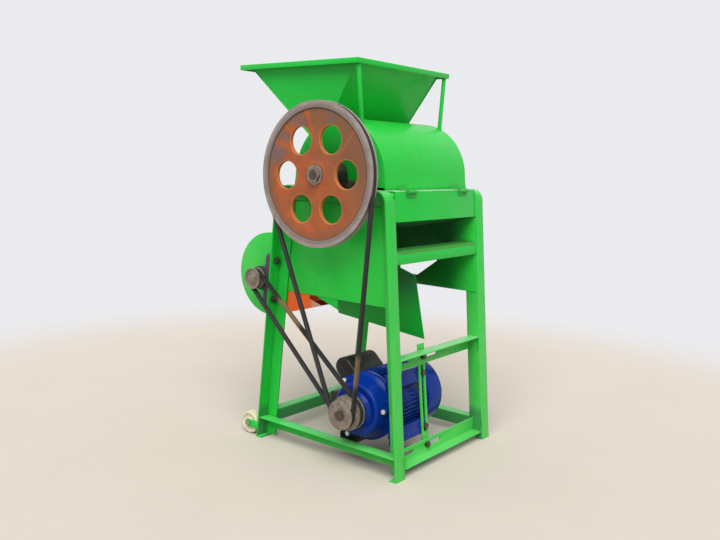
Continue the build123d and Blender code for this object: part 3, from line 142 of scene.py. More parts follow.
class Tree:
    """Short calls on one shader node tree: each adds a node, and links or sets its inputs."""

    def __init__(self, tree):
        self.nodes = tree.nodes
        self.links = tree.links

    def put(self, socket, value):
        """Link a socket to another node's output, or set it to a plain value."""
        if isinstance(value, bpy.types.NodeSocket):
            self.links.new(value, socket)
        else:
            socket.default_value = value

    def node(self, kind, inputs=(), **settings):
        """A node of that kind, with settings by name and inputs by socket name."""
        made = self.nodes.new(kind)
        for name, value in settings.items():
            setattr(made, name, value)
        for name, value in dict(inputs).items():
            self.put(made.inputs[name], value)
        return made

    def math(self, operation, first, second=0.0, third=0.0):
        made = self.nodes.new("ShaderNodeMath")
        made.operation = operation
        for socket, value in zip(made.inputs, (first, second, third)):
            self.put(socket, value)
        return made.outputs[0]

    def vector(self, operation, first, second=(0, 0, 0), output="Vector"):
        made = self.nodes.new("ShaderNodeVectorMath")
        made.operation = operation
        self.put(made.inputs[0], first)
        self.put(made.inputs[1], second)
        return made.outputs[output]

    def mix(self, share, first, second):
        """Colour between first, at share 0, and second, at share 1."""
        made = self.nodes.new("ShaderNodeMix")
        made.data_type = "RGBA"
        for index, value in ((0, share), (6, first), (7, second)):
            self.put(made.inputs[index], value)
        return made.outputs[2]

    def step(self, value, low, high, start=0.0, end=1.0):
        """Smooth change from start to end as value goes from low to high."""
        made = self.node("ShaderNodeMapRange", interpolation_type="SMOOTHSTEP")
        for name, number in (("Value", value), ("From Min", low), ("From Max", high), ("To Min", start),
                             ("To Max", end)):
            self.put(made.inputs[name], number)
        return made.outputs["Result"]

    def place(self, centre=(0, 0, 0), stretch=(1, 1, 1)):
        """Object coordinates from a centre, stretched along each axis."""
        made = self.node("ShaderNodeMapping", {"Location": [-c * s for c, s in zip(centre, stretch)],
                                               "Scale": stretch})
        self.links.new(self.node("ShaderNodeTexCoord").outputs["Object"], made.inputs["Vector"])
        return made.outputs["Vector"]

    def parts(self, vector):
        """X, Y and Z of a vector."""
        return self.node("ShaderNodeSeparateXYZ", {0: vector}).outputs

    def facing(self):
        """X, Y and Z of the way the surface looks, in the part's own frame."""
        return self.parts(self.node("ShaderNodeTexCoord").outputs["Normal"])

    def height(self):
        """Height above the floor."""
        return self.parts(self.place())["Z"]

    def noise(self, place, scale, detail=4.0, rough=0.55):
        made = self.node("ShaderNodeTexNoise", {"Vector": place, "Scale": scale, "Detail": detail,
                                                "Roughness": rough})
        return made.outputs["Fac"]

    def effect(self, name, **inputs):
        """One of the shared effects, with its own values."""
        made = self.node("ShaderNodeGroup", node_tree=bpy.data.node_groups[name])
        for socket, value in inputs.items():
            self.put(made.inputs[socket], value)
        return made.outputs

    def axis_radius(self, centre):
        """Distance from a shaft that runs along Y through a centre."""
        across = self.vector("MULTIPLY", self.place(centre), (1, 0, 1))
        return self.vector("LENGTH", across, output="Value")


def new_effect(name, inputs, outputs):
    """Empty shared effect: a node group with named number inputs and named mask outputs."""
    tree = bpy.data.node_groups.new(name, "ShaderNodeTree")
    for socket, value in inputs.items():
        made = tree.interface.new_socket(socket, in_out="INPUT", socket_type="NodeSocketFloat")
        made.default_value = value
    for socket in outputs:
        tree.interface.new_socket(socket, in_out="OUTPUT", socket_type="NodeSocketFloat")
    t = Tree(tree)
    return t, t.node("NodeGroupInput").outputs, t.node("NodeGroupOutput").inputs


# Worn edges: where a rounded normal leaves the flat one, broken up by noise
t, given, out = new_effect("worn_edges", {"Width": 0.003, "Amount": 0.5, "Scale": 60.0}, ["Mask"])
softened = t.node("ShaderNodeBevel", {"Radius": given["Width"]}, samples=4).outputs["Normal"]
flat = t.node("ShaderNodeNewGeometry").outputs["Normal"]
turn = t.math("SUBTRACT", 1.0, t.vector("DOT_PRODUCT", softened, flat, output="Value"))
patch = t.step(t.noise(t.place(), given["Scale"], 5.0), t.math("SUBTRACT", 1.0, given["Amount"]), 1.0)
t.put(out["Mask"], t.math("MULTIPLY", t.step(turn, 0.01, 0.16), patch))

# Dust that settles on faces which look up, thicker near the floor
t, given, out = new_effect("settled_dust", {"Amount": 0.3, "Reach": 0.25}, ["Mask"])
low_down = t.math("ADD", 0.35, t.step(t.height(), 0.0, given["Reach"], 1.0, 0.0))
cloud = t.step(t.noise(t.place(), 38.0, 6.0, 0.65), 0.35, 0.75)
lying = t.math("MULTIPLY", t.step(t.facing()["Z"], -0.2, 0.9), cloud)
t.put(out["Mask"], t.math("MULTIPLY", t.math("MULTIPLY", lying, low_down), given["Amount"]))

# Grime and painted shade that gather in corners and along seams, where the surface is closed in
t, given, out = new_effect("corner_grime_shade", {"Reach": 0.012, "Amount": 0.6}, ["Mask"])
open_share = t.node("ShaderNodeAmbientOcclusion", {"Distance": given["Reach"]}, samples=6).outputs["AO"]
closed = t.step(open_share, 0.85, 0.35)
uneven = t.step(t.noise(t.place(), 45.0, 5.0, 0.65), 0.25, 0.65)
t.put(out["Mask"], t.math("MULTIPLY", t.math("MULTIPLY", closed, uneven), given["Amount"]))

# Blotches: two sizes of noise pushed to soft-edged patches
t, given, out = new_effect("blotches", {"Scale": 20.0, "Cover": 0.5, "Soft": 0.15}, ["Mask", "Grain"])
broad = t.noise(t.place(), given["Scale"], 5.0, 0.6)
fine = t.noise(t.place(), t.math("MULTIPLY", given["Scale"], 9.0), 6.0, 0.7)
blend = t.math("ADD", t.math("MULTIPLY", broad, 0.75), t.math("MULTIPLY", fine, 0.25))
edge = t.math("SUBTRACT", 1.0, given["Cover"])
edge_low, edge_high = (t.math(way, edge, given["Soft"]) for way in ("SUBTRACT", "ADD"))
t.put(out["Mask"], t.step(blend, edge_low, edge_high))
t.put(out["Grain"], fine)

# Lathe rings: fine turned lines at even steps of a radius
t, given, out = new_effect("lathe_rings", {"Radius": 0.0, "Pitch": 0.0012}, ["Height"])
phase = t.math("MULTIPLY", t.math("DIVIDE", given["Radius"], given["Pitch"]), 2 * pi)
shaky = t.math("ADD", phase, t.math("MULTIPLY", t.noise(t.place(), 30.0), 5.0))
t.put(out["Height"], t.math("MULTIPLY_ADD", t.math("SINE", shaky), 0.5, 0.5))


def new_material(name, **plain):
    """Material with a Principled shader whose plain values are set on its own sockets."""
    made = bpy.data.materials.new(name)
    made.use_nodes = True
    t = Tree(made.node_tree)
    shader = made.node_tree.nodes["Principled BSDF"].inputs
    for socket, value in plain.items():
        shader[socket.replace("_", " ")].default_value = value
    return made, t, shader


def bump(t, height, distance, strength=1.0):
    """Normal from a height that changes over the surface."""
    made = t.node("ShaderNodeBump", {"Height": height, "Distance": distance, "Strength": strength})
    return made.outputs["Normal"]


def enamel(name, light, deep, gloss=0.24, chips=0.50, dust=0.25, dirt=0.7, bare=RUST_DARK):
    """Brushed gloss paint: cloudy colour, orange-peel skin, chipped edges, specks, corners darkened by grime and
    painted shade, and dust.
    The colour it gives back has no dust on it."""
    made, t, shader = new_material(name, Specular_IOR_Level=0.25)
    clouds = t.effect("blotches", Scale=7.0, Cover=0.5, Soft=0.35)
    edge_chip = t.effect("worn_edges", Width=0.0022, Amount=chips, Scale=70.0)["Mask"]
    speck = t.step(t.noise(t.place(), 130.0, 1.0), 0.730, 0.765, 0.0, chips)
    chip = t.math("MAXIMUM", edge_chip, speck)
    # Corners that the surface closes in on turn dark: partly grime, partly painted shade
    grime_shade_mask = t.effect("corner_grime_shade", Reach=0.012, Amount=dirt)["Mask"]
    film = t.effect("settled_dust", Amount=dust, Reach=0.2)["Mask"]
    paint = t.mix(clouds["Mask"], light, deep)
    colour = t.mix(grime_shade_mask, t.mix(chip, paint, bare), GRIME_AND_SHADE)
    t.put(shader["Base Color"], t.mix(film, colour, DUST))
    rough = t.math("MULTIPLY_ADD", clouds["Grain"], 0.10, gloss)
    t.put(shader["Roughness"], t.math("MULTIPLY_ADD", film, 0.5, rough))
    skin = t.noise(t.place(), 420.0, 2.0)
    waves = t.noise(t.place(), 20.0, 1.0)
    t.put(shader["Normal"], bump(t, t.math("MULTIPLY_ADD", skin, 0.12, waves), 0.0007, 0.3))
    return made, t, shader, colour


def frame_enamel():
    """Green of the legs and bars: faded in streaks at the end where shells fall, more so near the floor, paler in
    patches on faces that look up, and painted shade on the faces of the rails that look in under the machine."""
    made, t, shader, colour = enamel("frame_enamel", GREEN, GREEN_DEEP, chips=0.55)
    place = t.parts(t.place((drum_axis.x, stand_middle_y, 0)))
    facing = t.facing()
    streaks = t.step(t.noise(t.place(stretch=(1, 1, 0.12)), 150.0, 3.0), 0.30, 0.62, 0.45, 1.0)
    low_down = t.step(place["Z"], 0.62, 0.22, 0.20, 0.80)
    at_outlet = t.step(place["X"], -0.10, 0.14, 0.15, 1.0)
    faded = t.math("MULTIPLY", t.math("MULTIPLY", low_down, streaks), at_outlet)
    # Painted shade on the faces of the rails that look in under the machine, low down
    inward_x, inward_y = (t.math("MULTIPLY", facing[axis], t.math("SIGN", place[axis])) for axis in "XY")
    inward = t.math("MINIMUM", inward_x, inward_y)
    dulled = t.math("MULTIPLY", t.step(inward, -0.4, -0.8, 0.0, 0.85), t.step(place["Z"], 0.10, 0.07))
    cloud = t.step(t.noise(t.place(), 25.0), 0.30, 0.65, 0.55, 1.0)
    upward = t.step(facing["Z"], 0.5, 0.95, 0.0, 0.38)
    topside = t.math("MULTIPLY", upward, t.step(place["Z"], 0.04, 0.20, 0.35, 1.0))
    worn = t.mix(t.math("MULTIPLY", topside, cloud), t.mix(faded, colour, GREEN_FADED), GREEN_PALE)
    t.put(shader["Base Color"], t.mix(dulled, worn, GREEN_SHADE))
    return made


def scroll_enamel():
    """Green outside, orange primer inside the fan casing and on its cheeks, and a paler tan towards their tips, a
    painted highlight where light falls on them.
    """
    made, t, shader, colour = enamel("scroll_enamel", GREEN_FADED, GREEN, gloss=0.26, chips=0.40, dust=0.15,
                                     dirt=0.5)
    wall = 0.001
    cheek_start = -0.180
    tip_start = -0.078
    tip_end = -0.062
    inside = t.math("LESS_THAN", t.axis_radius(scroll_centre), scroll_radius - wall)
    place = t.parts(t.place((drum_axis.x, stand_middle_y, 0)))
    half = (scroll_high.y - scroll_low.y) / 2
    between = t.math("LESS_THAN", t.math("ABSOLUTE", place["Y"]), half - wall)
    cheek = t.math("GREATER_THAN", place["X"], cheek_start)
    patches = t.effect("blotches", Scale=16.0, Cover=0.4, Soft=0.2)["Mask"]
    primer = t.mix(patches, ORANGE_PRIMER, ORANGE_DULL)
    # Painted highlight: tan towards the tips of the casing and its cheeks
    bare = t.math("ADD", place["X"], t.math("MULTIPLY", t.noise(t.place(), 40.0), 0.02))
    primer = t.mix(t.step(bare, tip_start, tip_end, 0.0, 0.85), primer, TAN_HIGHLIGHT)
    unpainted = t.math("MAXIMUM", t.math("MULTIPLY", inside, between), cheek)
    t.put(shader["Base Color"], t.mix(unpainted, colour, primer))
    return made


def motor_blue():
    """Blue paint of the motor, a little less shiny than the green, with no dust; its chip marks on edges and in
    specks are pale blue, a painted highlight.
    """
    made, _, shader, _ = enamel("motor_blue", BLUE, BLUE_DEEP, gloss=0.20, chips=0.45, dust=0.0, dirt=0.8,
                                bare=BLUE_EDGE_HIGHLIGHT)
    shader["Specular IOR Level"].default_value = 0.18
    return made


def inner_enamel(name, inward):
    """Paler green outside and at the open end, painted light that makes up for the shade cast on the walls,
    and painted shade on the faces that look into the machine: darkest deep in and above the bar, duller
    below it. The inward direction is along Y to the middle of the stand, or along +X."""
    made, t, shader, colour = enamel(name, GREEN_PAINTED_LIGHT, GREEN, gloss=0.26)
    place = t.parts(t.place((0, stand_middle_y, 0)))
    facing = t.facing()
    if inward == "Y":
        within = t.math("LESS_THAN", t.math("MULTIPLY", facing["Y"], t.math("SIGN", place["Y"])), -0.5)
    else:
        within = t.math("GREATER_THAN", facing["X"], 0.5)
    # Painted shade on the faces that look inward: none at the open end, darkest deep in and above the bar
    deep = t.step(place["X"], outlet_x - 0.005, outlet_x - 0.085)
    patches = t.effect("blotches", Scale=18.0, Cover=0.35, Soft=0.3)["Mask"]
    above = t.step(place["Z"], bar_top - 0.060, bar_top - 0.010)
    shade = t.mix(above, GREEN_DULL, t.mix(patches, GREEN_SHADE, GREEN_DARKER_SHADE))
    t.put(shader["Base Color"], t.mix(t.math("MULTIPLY", within, deep), colour, shade))
    return made


def stained_bar():
    """Green bar under the outlet, rubbed dull and olive along its upper edge by what falls over it."""
    made, t, shader, colour = enamel("stained_bar", GREEN, GREEN, gloss=0.28)
    uneven = t.math("MULTIPLY_ADD", t.noise(t.place(), 60.0), 0.006, t.height())
    rubbed = t.step(uneven, bar_top - 0.0060, bar_top - 0.0030, 0.0, 0.8)
    t.put(shader["Base Color"], t.mix(rubbed, colour, GREEN_OLIVE))
    return made


def edge_highlight_enamel():
    """Green end plate with a painted highlight along its upper edge, where the lip catches the light."""
    made, t, shader, colour = enamel("edge_highlight_enamel", GREEN, GREEN_DEEP)
    uneven = t.math("MULTIPLY_ADD", t.noise(t.place(), 45.0), 0.003, t.height())
    # Painted highlight: pale green along the upper edge
    rubbed = t.step(uneven, lip_top - 0.0008, lip_top + 0.0004, 0.0, 0.9)
    t.put(shader["Base Color"], t.mix(rubbed, colour, GREEN_PALE))
    return made


def chute_enamel():
    """Green of the chute, with painted shade: darker and colder higher up, under the machine."""
    made, t, shader, colour = enamel("chute_enamel", GREEN, GREEN_DEEP, gloss=0.32, dirt=0.9)
    # Painted shade, growing with height under the machine
    shaded = t.step(t.height(), 0.340, 0.480, 0.0, 0.80)
    t.put(shader["Base Color"], t.mix(shaded, colour, GREEN_CHUTE_SHADE))
    return made


def painted_shade_sheet():
    """Dark green painted shade for the sheet metal inside the machine, matt and never polished."""
    made, t, shader = new_material("painted_shade_sheet", Specular_IOR_Level=0.1, Roughness=0.95)
    patches = t.effect("blotches", Scale=18.0, Cover=0.35, Soft=0.3)["Mask"]
    t.put(shader["Base Color"], t.mix(patches, GREEN_SHADE, GREEN_DARKER_SHADE))
    return made


def rusty_pulley():
    """Cast pulley: mottled rust on its web, grey scale near the rim, radial streaks and a turned grey rim, with a
    painted highlight round the holes and painted shade where the web meets the rim. Radii are in metres from
    the drum's axis."""
    made, t, shader = new_material("rusty_pulley")
    parts = t.parts(t.place(drum_axis))
    radius = t.axis_radius(drum_axis)
    angle = t.math("ARCTAN2", parts["Z"], parts["X"])
    fine = t.math("MULTIPLY", t.math("SUBTRACT", t.noise(t.place(), 60.0, 6.0, 0.7), 0.5), 0.16)
    swirl = t.math("MULTIPLY", t.math("SUBTRACT", radius, 0.15), -1.7)
    spoke = t.math("ADD", t.math("ADD", angle, swirl), fine)
    # Distance from the nearest of the holes
    fold = t.math("PINGPONG", t.math("SUBTRACT", angle, pulley_hole_turn), pi / pulley_holes)
    along = t.math("SUBTRACT", t.math("MULTIPLY", radius, t.math("COSINE", fold)), pulley_hole_circle)
    aside = t.math("MULTIPLY", radius, t.math("SINE", fold))
    from_hole = t.math("SQRT", t.math("ADD", t.math("POWER", along, 2.0), t.math("POWER", aside, 2.0)))
    # Rust, browner to the top and one side
    mottle = t.effect("blotches", Scale=26.0, Cover=0.5, Soft=0.16)
    speckle = t.effect("blotches", Scale=85.0, Cover=0.50, Soft=0.14)
    rust = t.mix(mottle["Mask"], RUST_BRIGHT, RUST_MIDDLE)
    rust = t.mix(t.math("MULTIPLY", speckle["Mask"], 0.35), rust, RUST_BROWN)
    lean = t.math("ADD", t.math("MULTIPLY", parts["X"], 0.8), t.math("MULTIPLY", parts["Z"], 0.6))
    brown = t.step(t.math("ADD", lean, t.math("MULTIPLY", fine, 0.35)), 0.0, 0.12, 0.0, 0.85)
    toward_rim = t.math("MULTIPLY", t.step(radius, 0.130, 0.158), 0.55)
    rust = t.mix(t.math("MAXIMUM", brown, toward_rim), rust, RUST_BROWN)
    # Patches of grey scale between the streaks: middle angle, half width and strength
    grey_patches = (1.25, 0.16, 0.55), (2.02, 0.19, 0.85), (2.45, 0.11, 0.9), (2.80, 0.26, 0.9)
    for middle, half, share in grey_patches:
        off = t.math("ABSOLUTE", t.math("SUBTRACT", spoke, middle))
        near = t.step(off, half, half * 0.5, 0.0, share)
        patch = t.math("MULTIPLY", near, t.step(radius, 0.100, 0.125))
        spotted = t.math("MULTIPLY_ADD", speckle["Mask"], 0.6, 0.4)
        rust = t.mix(t.math("MULTIPLY", patch, spotted), rust, SCALE_GREY)
    # Bright streaks from the middle of the web to the rim
    for middle, half in ((1.78, 0.075), (2.30, 0.040), (2.60, 0.055), (0.72, 0.030)):
        off = t.math("ABSOLUTE", t.math("SUBTRACT", spoke, middle))
        near = t.step(off, half, half * 0.2, 0.0, 0.8)
        streak = t.math("MULTIPLY", near, t.step(radius, 0.060, 0.100))
        rust = t.mix(t.math("MULTIPLY", streak, t.step(speckle["Grain"], 0.3, 0.55)), rust, RUST_BRIGHT)
    # Painted highlight: a pale ring round the edge of each hole
    web = t.mix(t.step(from_hole, 0.0378, 0.0350, 0.0, 0.65), rust, RUST_HOLE_HIGHLIGHT)
    # Painted shade: a dark ring where the web meets the rim
    web = t.mix(t.step(radius, 0.1535, 0.1580, 0.0, 0.7), web, IRON_DARK)
    # Turned rim in two tones
    turned = t.mix(t.effect("blotches", Scale=40.0, Cover=0.45, Soft=0.3)["Mask"], IRON_PALE, IRON_GREY)
    turned = t.mix(t.step(radius, 0.1690, 0.1660, 0.0, 0.7), turned, IRON_GREY)
    stained = t.effect("blotches", Scale=13.0, Cover=0.40, Soft=0.2)["Mask"]
    turned = t.mix(t.math("MULTIPLY", stained, 0.35), turned, RUST_DARK)
    on_rim = t.step(radius, 0.1588, 0.1596)
    t.put(shader["Base Color"], t.mix(on_rim, web, turned))
    t.put(shader["Metallic"], t.math("MULTIPLY", on_rim, 0.4))
    t.put(shader["Roughness"], t.math("MULTIPLY_ADD", on_rim, -0.30, 0.80))
    rings = t.effect("lathe_rings", Radius=radius, Pitch=0.0016)["Height"]
    grain = t.math("MULTIPLY", mottle["Grain"], 1.4)
    relief = t.math("MULTIPLY_ADD", rings, t.math("MULTIPLY", on_rim, 0.25), grain)
    t.put(shader["Normal"], bump(t, relief, 0.0008, 0.6))
    return made


def turned_iron(name, centre):
    """Small turned cast-iron piece on a shaft: grey with rings, brown stain in places."""
    made, t, shader = new_material(name, Metallic=0.55)
    stain = t.effect("blotches", Scale=60.0, Cover=0.50, Soft=0.2)
    colour = t.mix(stain["Mask"], STEEL_WORN, STEEL_STAINED)
    dirt = t.effect("blotches", Scale=48.0, Cover=0.32, Soft=0.10)["Mask"]
    t.put(shader["Base Color"], t.mix(dirt, colour, IRON_DARK))
    t.put(shader["Roughness"], t.math("MULTIPLY_ADD", stain["Grain"], 0.25, 0.40))
    rings = t.effect("lathe_rings", Radius=t.axis_radius(centre), Pitch=0.0011)["Height"]
    t.put(shader["Normal"], bump(t, t.math("ADD", rings, stain["Grain"]), 0.0005, 0.4))
    return made


def plated_steel(name, light, dull, metal):
    """Bolts, shafts and rods: even metal with dull blotches and a fine grain."""
    made, t, shader = new_material(name, Metallic=metal)
    dulled = t.effect("blotches", Scale=80.0, Cover=0.5, Soft=0.25)
    t.put(shader["Base Color"], t.mix(dulled["Mask"], light, dull))
    t.put(shader["Roughness"], t.math("MULTIPLY_ADD", dulled["Grain"], 0.3, 0.25))
    t.put(shader["Normal"], bump(t, dulled["Grain"], 0.0004, 0.3))
    return made


def moulded_black():
    """Smooth black moulding with a faint grain and light dust."""
    made, t, shader = new_material("moulded_black", Specular_IOR_Level=0.35)
    film = t.effect("settled_dust", Amount=0.12, Reach=0.4)["Mask"]
    t.put(shader["Base Color"], t.mix(film, BLACK_MOULDED, DUST))
    grain = t.noise(t.place(), 900.0, 2.0)
    t.put(shader["Roughness"], t.math("MULTIPLY_ADD", grain, 0.2, 0.22))
    t.put(shader["Normal"], bump(t, grain, 0.0003, 0.25))
    return made


def belt_rubber():
    """Wedge belt: matt black rubber with a woven cover, scuffed brown, and bare tan on two stretches."""
    made, t, shader = new_material("belt_rubber")
    scuff = t.effect("blotches", Scale=13.0, Cover=0.36, Soft=0.12)
    colour = t.mix(t.math("MULTIPLY", scuff["Mask"], 0.6), RUBBER, RUBBER_WORN)
    for stretch, reach, share in worn_stretches:
        distance = t.vector("LENGTH", t.place(stretch), output="Value")
        frayed = t.math("ADD", distance, t.math("MULTIPLY", scuff["Grain"], 0.03))
        colour = t.mix(t.step(frayed, reach + 0.025, reach, 0.0, share), colour, CANVAS)
    t.put(shader["Base Color"], colour)
    t.put(shader["Roughness"], t.math("MULTIPLY_ADD", scuff["Grain"], 0.25, 0.55))
    weave = t.noise(t.place(stretch=(1, 2.5, 1)), 1100.0, 1.0)
    t.put(shader["Normal"], bump(t, weave, 0.0006, 0.5))
    return made


def cream_nylon():
    """Cast nylon wheel, dirty on its tread."""
    made, t, shader = new_material("cream_nylon", Subsurface_Weight=0.05)
    dirt = t.effect("blotches", Scale=60.0, Cover=0.40, Soft=0.25)
    t.put(shader["Base Color"], t.mix(dirt["Mask"], CREAM, CREAM_DIRTY))
    t.put(shader["Roughness"], t.math("MULTIPLY_ADD", dirt["Grain"], 0.25, 0.4))
    t.put(shader["Normal"], bump(t, dirt["Grain"], 0.0004, 0.3))
    return made


# Finish of each material slot, and of the nodes that differ from their slot
green = enamel("green_enamel", GREEN, GREEN_DEEP)[0]
scuffed = frame_enamel()
grimy = enamel("grimy_enamel", GREEN, GREEN_DULL, gloss=0.30, chips=0.60, dust=0.20)[0]
walls = inner_enamel("side_wall_enamel", "Y")
# Painted shade: dark green for the sheet metal and screen inside the machine
inside = painted_shade_sheet()
primer = enamel("orange_primer", ORANGE_PRIMER, ORANGE_DULL, gloss=0.5, chips=0.45, dust=0.2, dirt=0.3,
                bare=STEEL_BROWN)[0]
black_coat = enamel("black_coat", BLACK_COAT, IRON_DARK, gloss=0.42, dust=0.4, dirt=0.3, bare=IRON_GREY)[0]
bearing_coat = enamel("bearing_coat", BEARING_GREY, IRON_DARK, gloss=0.40, dust=0.15, dirt=0.8,
                      bare=IRON_GREY)[0]
brown_steel = plated_steel("brown_steel", STEEL_BROWN, IRON_DARK, 0.6)
worn_steel = plated_steel("worn_steel", STEEL_WORN, STEEL_STAINED, 0.5)
dusty_steel = plated_steel("dusty_steel", STEEL_DUSTY, IRON_DARK, 0.1)
finish_of_slot = {
    "green_paint": green,
    "inner_primer": primer,
    "rusty_iron": rusty_pulley(),
    "grey_iron": turned_iron("turned_iron", fan_axis),
    "black_iron": black_coat,
    "blue_paint": motor_blue(),
    "black_plastic": moulded_black(),
    "belt_rubber": belt_rubber(),
    "bright_steel": plated_steel("zinc_plate", ZINC, ZINC_DULL, 0.85),
    "dark_steel": brown_steel,
    "cream_plastic": cream_nylon(),
}
finish_of_node = {
    **dict.fromkeys(("side_frame_front", "side_frame_rear", "foot_plates", "bottom_rails", "back_cross_bar",
                     "mid_cross_bar", "low_cross_bar", "slotted_bars", "wheel_brackets"), scuffed),
    **dict.fromkeys(("drum_bearing_bolts", "fan_bearing_bolts", "bar_bolts", "motor_bolts"), brown_steel),
    # Screen, hood and floor inside the outlet get the dark green painted shade
    **dict.fromkeys(("screen_ribs", "screen_rods", "outlet_hood", "outlet_floor"), inside),
    **dict.fromkeys(("side_plate_front", "side_plate_rear"), walls),
    **dict.fromkeys(("hinge_cover_leaves", "hinge_fixed_leaves"), grimy),
    **dict.fromkeys(("drum_discs", "drum_bars"), dusty_steel),
    **dict.fromkeys(("shaft_nut", "shaft_washer", "fan_shaft"), worn_steel),
    "outlet_end_plate": edge_highlight_enamel(),
    "back_end_plate": inner_enamel("back_wall_enamel", "X"),
    "upper_cross_bar": stained_bar(),
    "kernel_chute": chute_enamel(),
    "fan_scroll": scroll_enamel(),
    "fan_bearings": bearing_coat,
    "motor_pulley": turned_iron("turned_motor_iron", motor_axis),
    "shield_screws": plated_steel("bright_zinc", ZINC_BRIGHT, ZINC, 0.3),
}
edge_round = 0.0005


def dress(node, material):
    """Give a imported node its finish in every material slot."""
    mesh = nodes[node].data
    mesh.materials.clear()
    mesh.materials.append(material)


def soften(node, width, angle=32.0):
    """Join a node's loose faces, round its sharp edges and shade the rest smooth."""
    piece = nodes[node]
    piece.data.polygons.foreach_set("use_smooth", np.ones(len(piece.data.polygons), bool))
    weld = piece.modifiers.new("joined", "WELD")
    weld.merge_threshold = 1e-6
    bevel = piece.modifiers.new("rounded", "BEVEL")
    bevel.width = width
    bevel.segments = 2
    bevel.limit_method = "ANGLE"
    bevel.angle_limit = radians(angle)
    split = piece.modifiers.new("shaded", "EDGE_SPLIT")
    split.split_angle = radians(angle)


for part in frame["record"]["subparts"]:
    name = part["node"]
    dress(name, finish_of_node.get(name, finish_of_slot[part["material_slot"]]))
    soften(name, edge_round)


# Modelled pieces: grids of points swept from a profile or along a line
def grid_faces(rows, columns, wrap_rows, wrap_columns):
    """Quads between neighbours in a grid of points, closed along its rows or columns where asked."""
    row, column = np.meshgrid(np.arange(rows if wrap_rows else rows - 1),
                              np.arange(columns if wrap_columns else columns - 1), indexing="ij")
    next_row = (row + 1) % rows
    next_column = (column + 1) % columns
    corners = (row, column), (row, next_column), (next_row, next_column), (next_row, column)
    return np.stack([r * columns + c for r, c in corners], -1).reshape(-1, 4)


def add_piece(name, grids, body, material):
    """One mesh of several grids (points, wrap rows, wrap columns), in place, that rides on a body."""
    points, faces, count = [], [], 0
    for grid, wrap_rows, wrap_columns in grids:
        faces.append(grid_faces(*grid.shape[:2], wrap_rows, wrap_columns) + count)
        points.append(grid.reshape(-1, 3))
        count += len(points[-1])
    mesh = bpy.data.meshes.new(name)
    mesh.from_pydata(np.concatenate(points).tolist(), [], np.concatenate(faces).tolist())
    mesh.polygons.foreach_set("use_smooth", np.ones(len(mesh.polygons), bool))
    mesh.set_sharp_from_angle(angle=radians(40))
    mesh.materials.append(material)
    piece = bpy.data.objects.new(name, mesh)
    bpy.context.scene.collection.objects.link(piece)
    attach(piece, body)
    return piece


def rounded(corners, steps=4):
    """Closed profile whose corners (radius, along, size, in millimetres) become short curves: at share s
    between the points a size before and after the corner, (1-s)^2 of the first, 2s(1-s) of the corner and
    s^2 of the last."""
    spots = np.array([corner[:2] for corner in corners]) / 1000
    sizes = np.array([corner[2] for corner in corners])[:, None] / 1000
    before = np.roll(spots, 1, 0) - spots
    after = np.roll(spots, -1, 0) - spots
    first = spots + before / np.linalg.norm(before, axis=1, keepdims=True) * sizes
    last = spots + after / np.linalg.norm(after, axis=1, keepdims=True) * sizes
    s = np.linspace(0, 1, steps + 1)[None, :, None]
    curve = (1 - s) ** 2 * first[:, None] + 2 * s * (1 - s) * spots[:, None] + s ** 2 * last[:, None]
    return curve.reshape(-1, 2)


def lathe(profile, centre, turns=144):
    """Closed ring: a profile of (radius, along) carried round the Y axis through a centre."""
    angle = np.linspace(0, 2 * pi, turns, endpoint=False)[:, None]
    radius, along = profile.T
    points = np.stack((radius * np.cos(angle), along + 0 * angle, radius * np.sin(angle)), -1)
    return points + np.array(centre), True, True


def holed_web(centre, inner, outer, circle, hole, count, turn, front, rear, edge, rays=96):
    """Disc with round holes, as one grid for each hole. Rays leave the hole's centre and end at the nearest
    of the outer circle, the inner circle and the sides of the hole's own wedge. The hole's edges are quarter
    circles."""
    slope = tan(pi / count)
    way = np.linspace(0, 2 * pi, rays, endpoint=False)
    out, side = np.cos(way), np.abs(np.sin(way))
    to_outer = np.sqrt(outer ** 2 - (circle * side) ** 2) - circle * out
    depth = np.maximum(inner ** 2 - (circle * side) ** 2, 0)
    to_inner = np.where((depth > 0) & (out < 0), -circle * out - np.sqrt(depth), np.inf)
    lean = side - out * slope
    to_side = np.where(lean > 1e-9, circle * slope / np.maximum(lean, 1e-9), np.inf)
    reach = np.minimum(np.minimum(to_outer, to_inner), to_side)[:, None]
    t = np.linspace(0, pi / 2, 5)
    near = np.concatenate((hole + edge * (1 - np.sin(t)), hole + edge * (1 - np.cos(t))))
    distance = np.concatenate((reach, np.tile(near, (rays, 1)), reach), 1)
    along = np.concatenate(([rear], rear - edge * (1 - np.cos(t)), front + edge * (1 - np.sin(t)), [front]))
    grids = []
    for angle in turn + 2 * pi * np.arange(count) / count:
        radial = circle + distance * np.cos(way)[:, None]
        aside = distance * np.sin(way)[:, None]
        points = np.stack((radial * cos(angle) - aside * sin(angle), along + 0 * radial,
                           radial * sin(angle) + aside * cos(angle)), -1)
        grids.append((points + np.array(centre), True, False))
    return grids


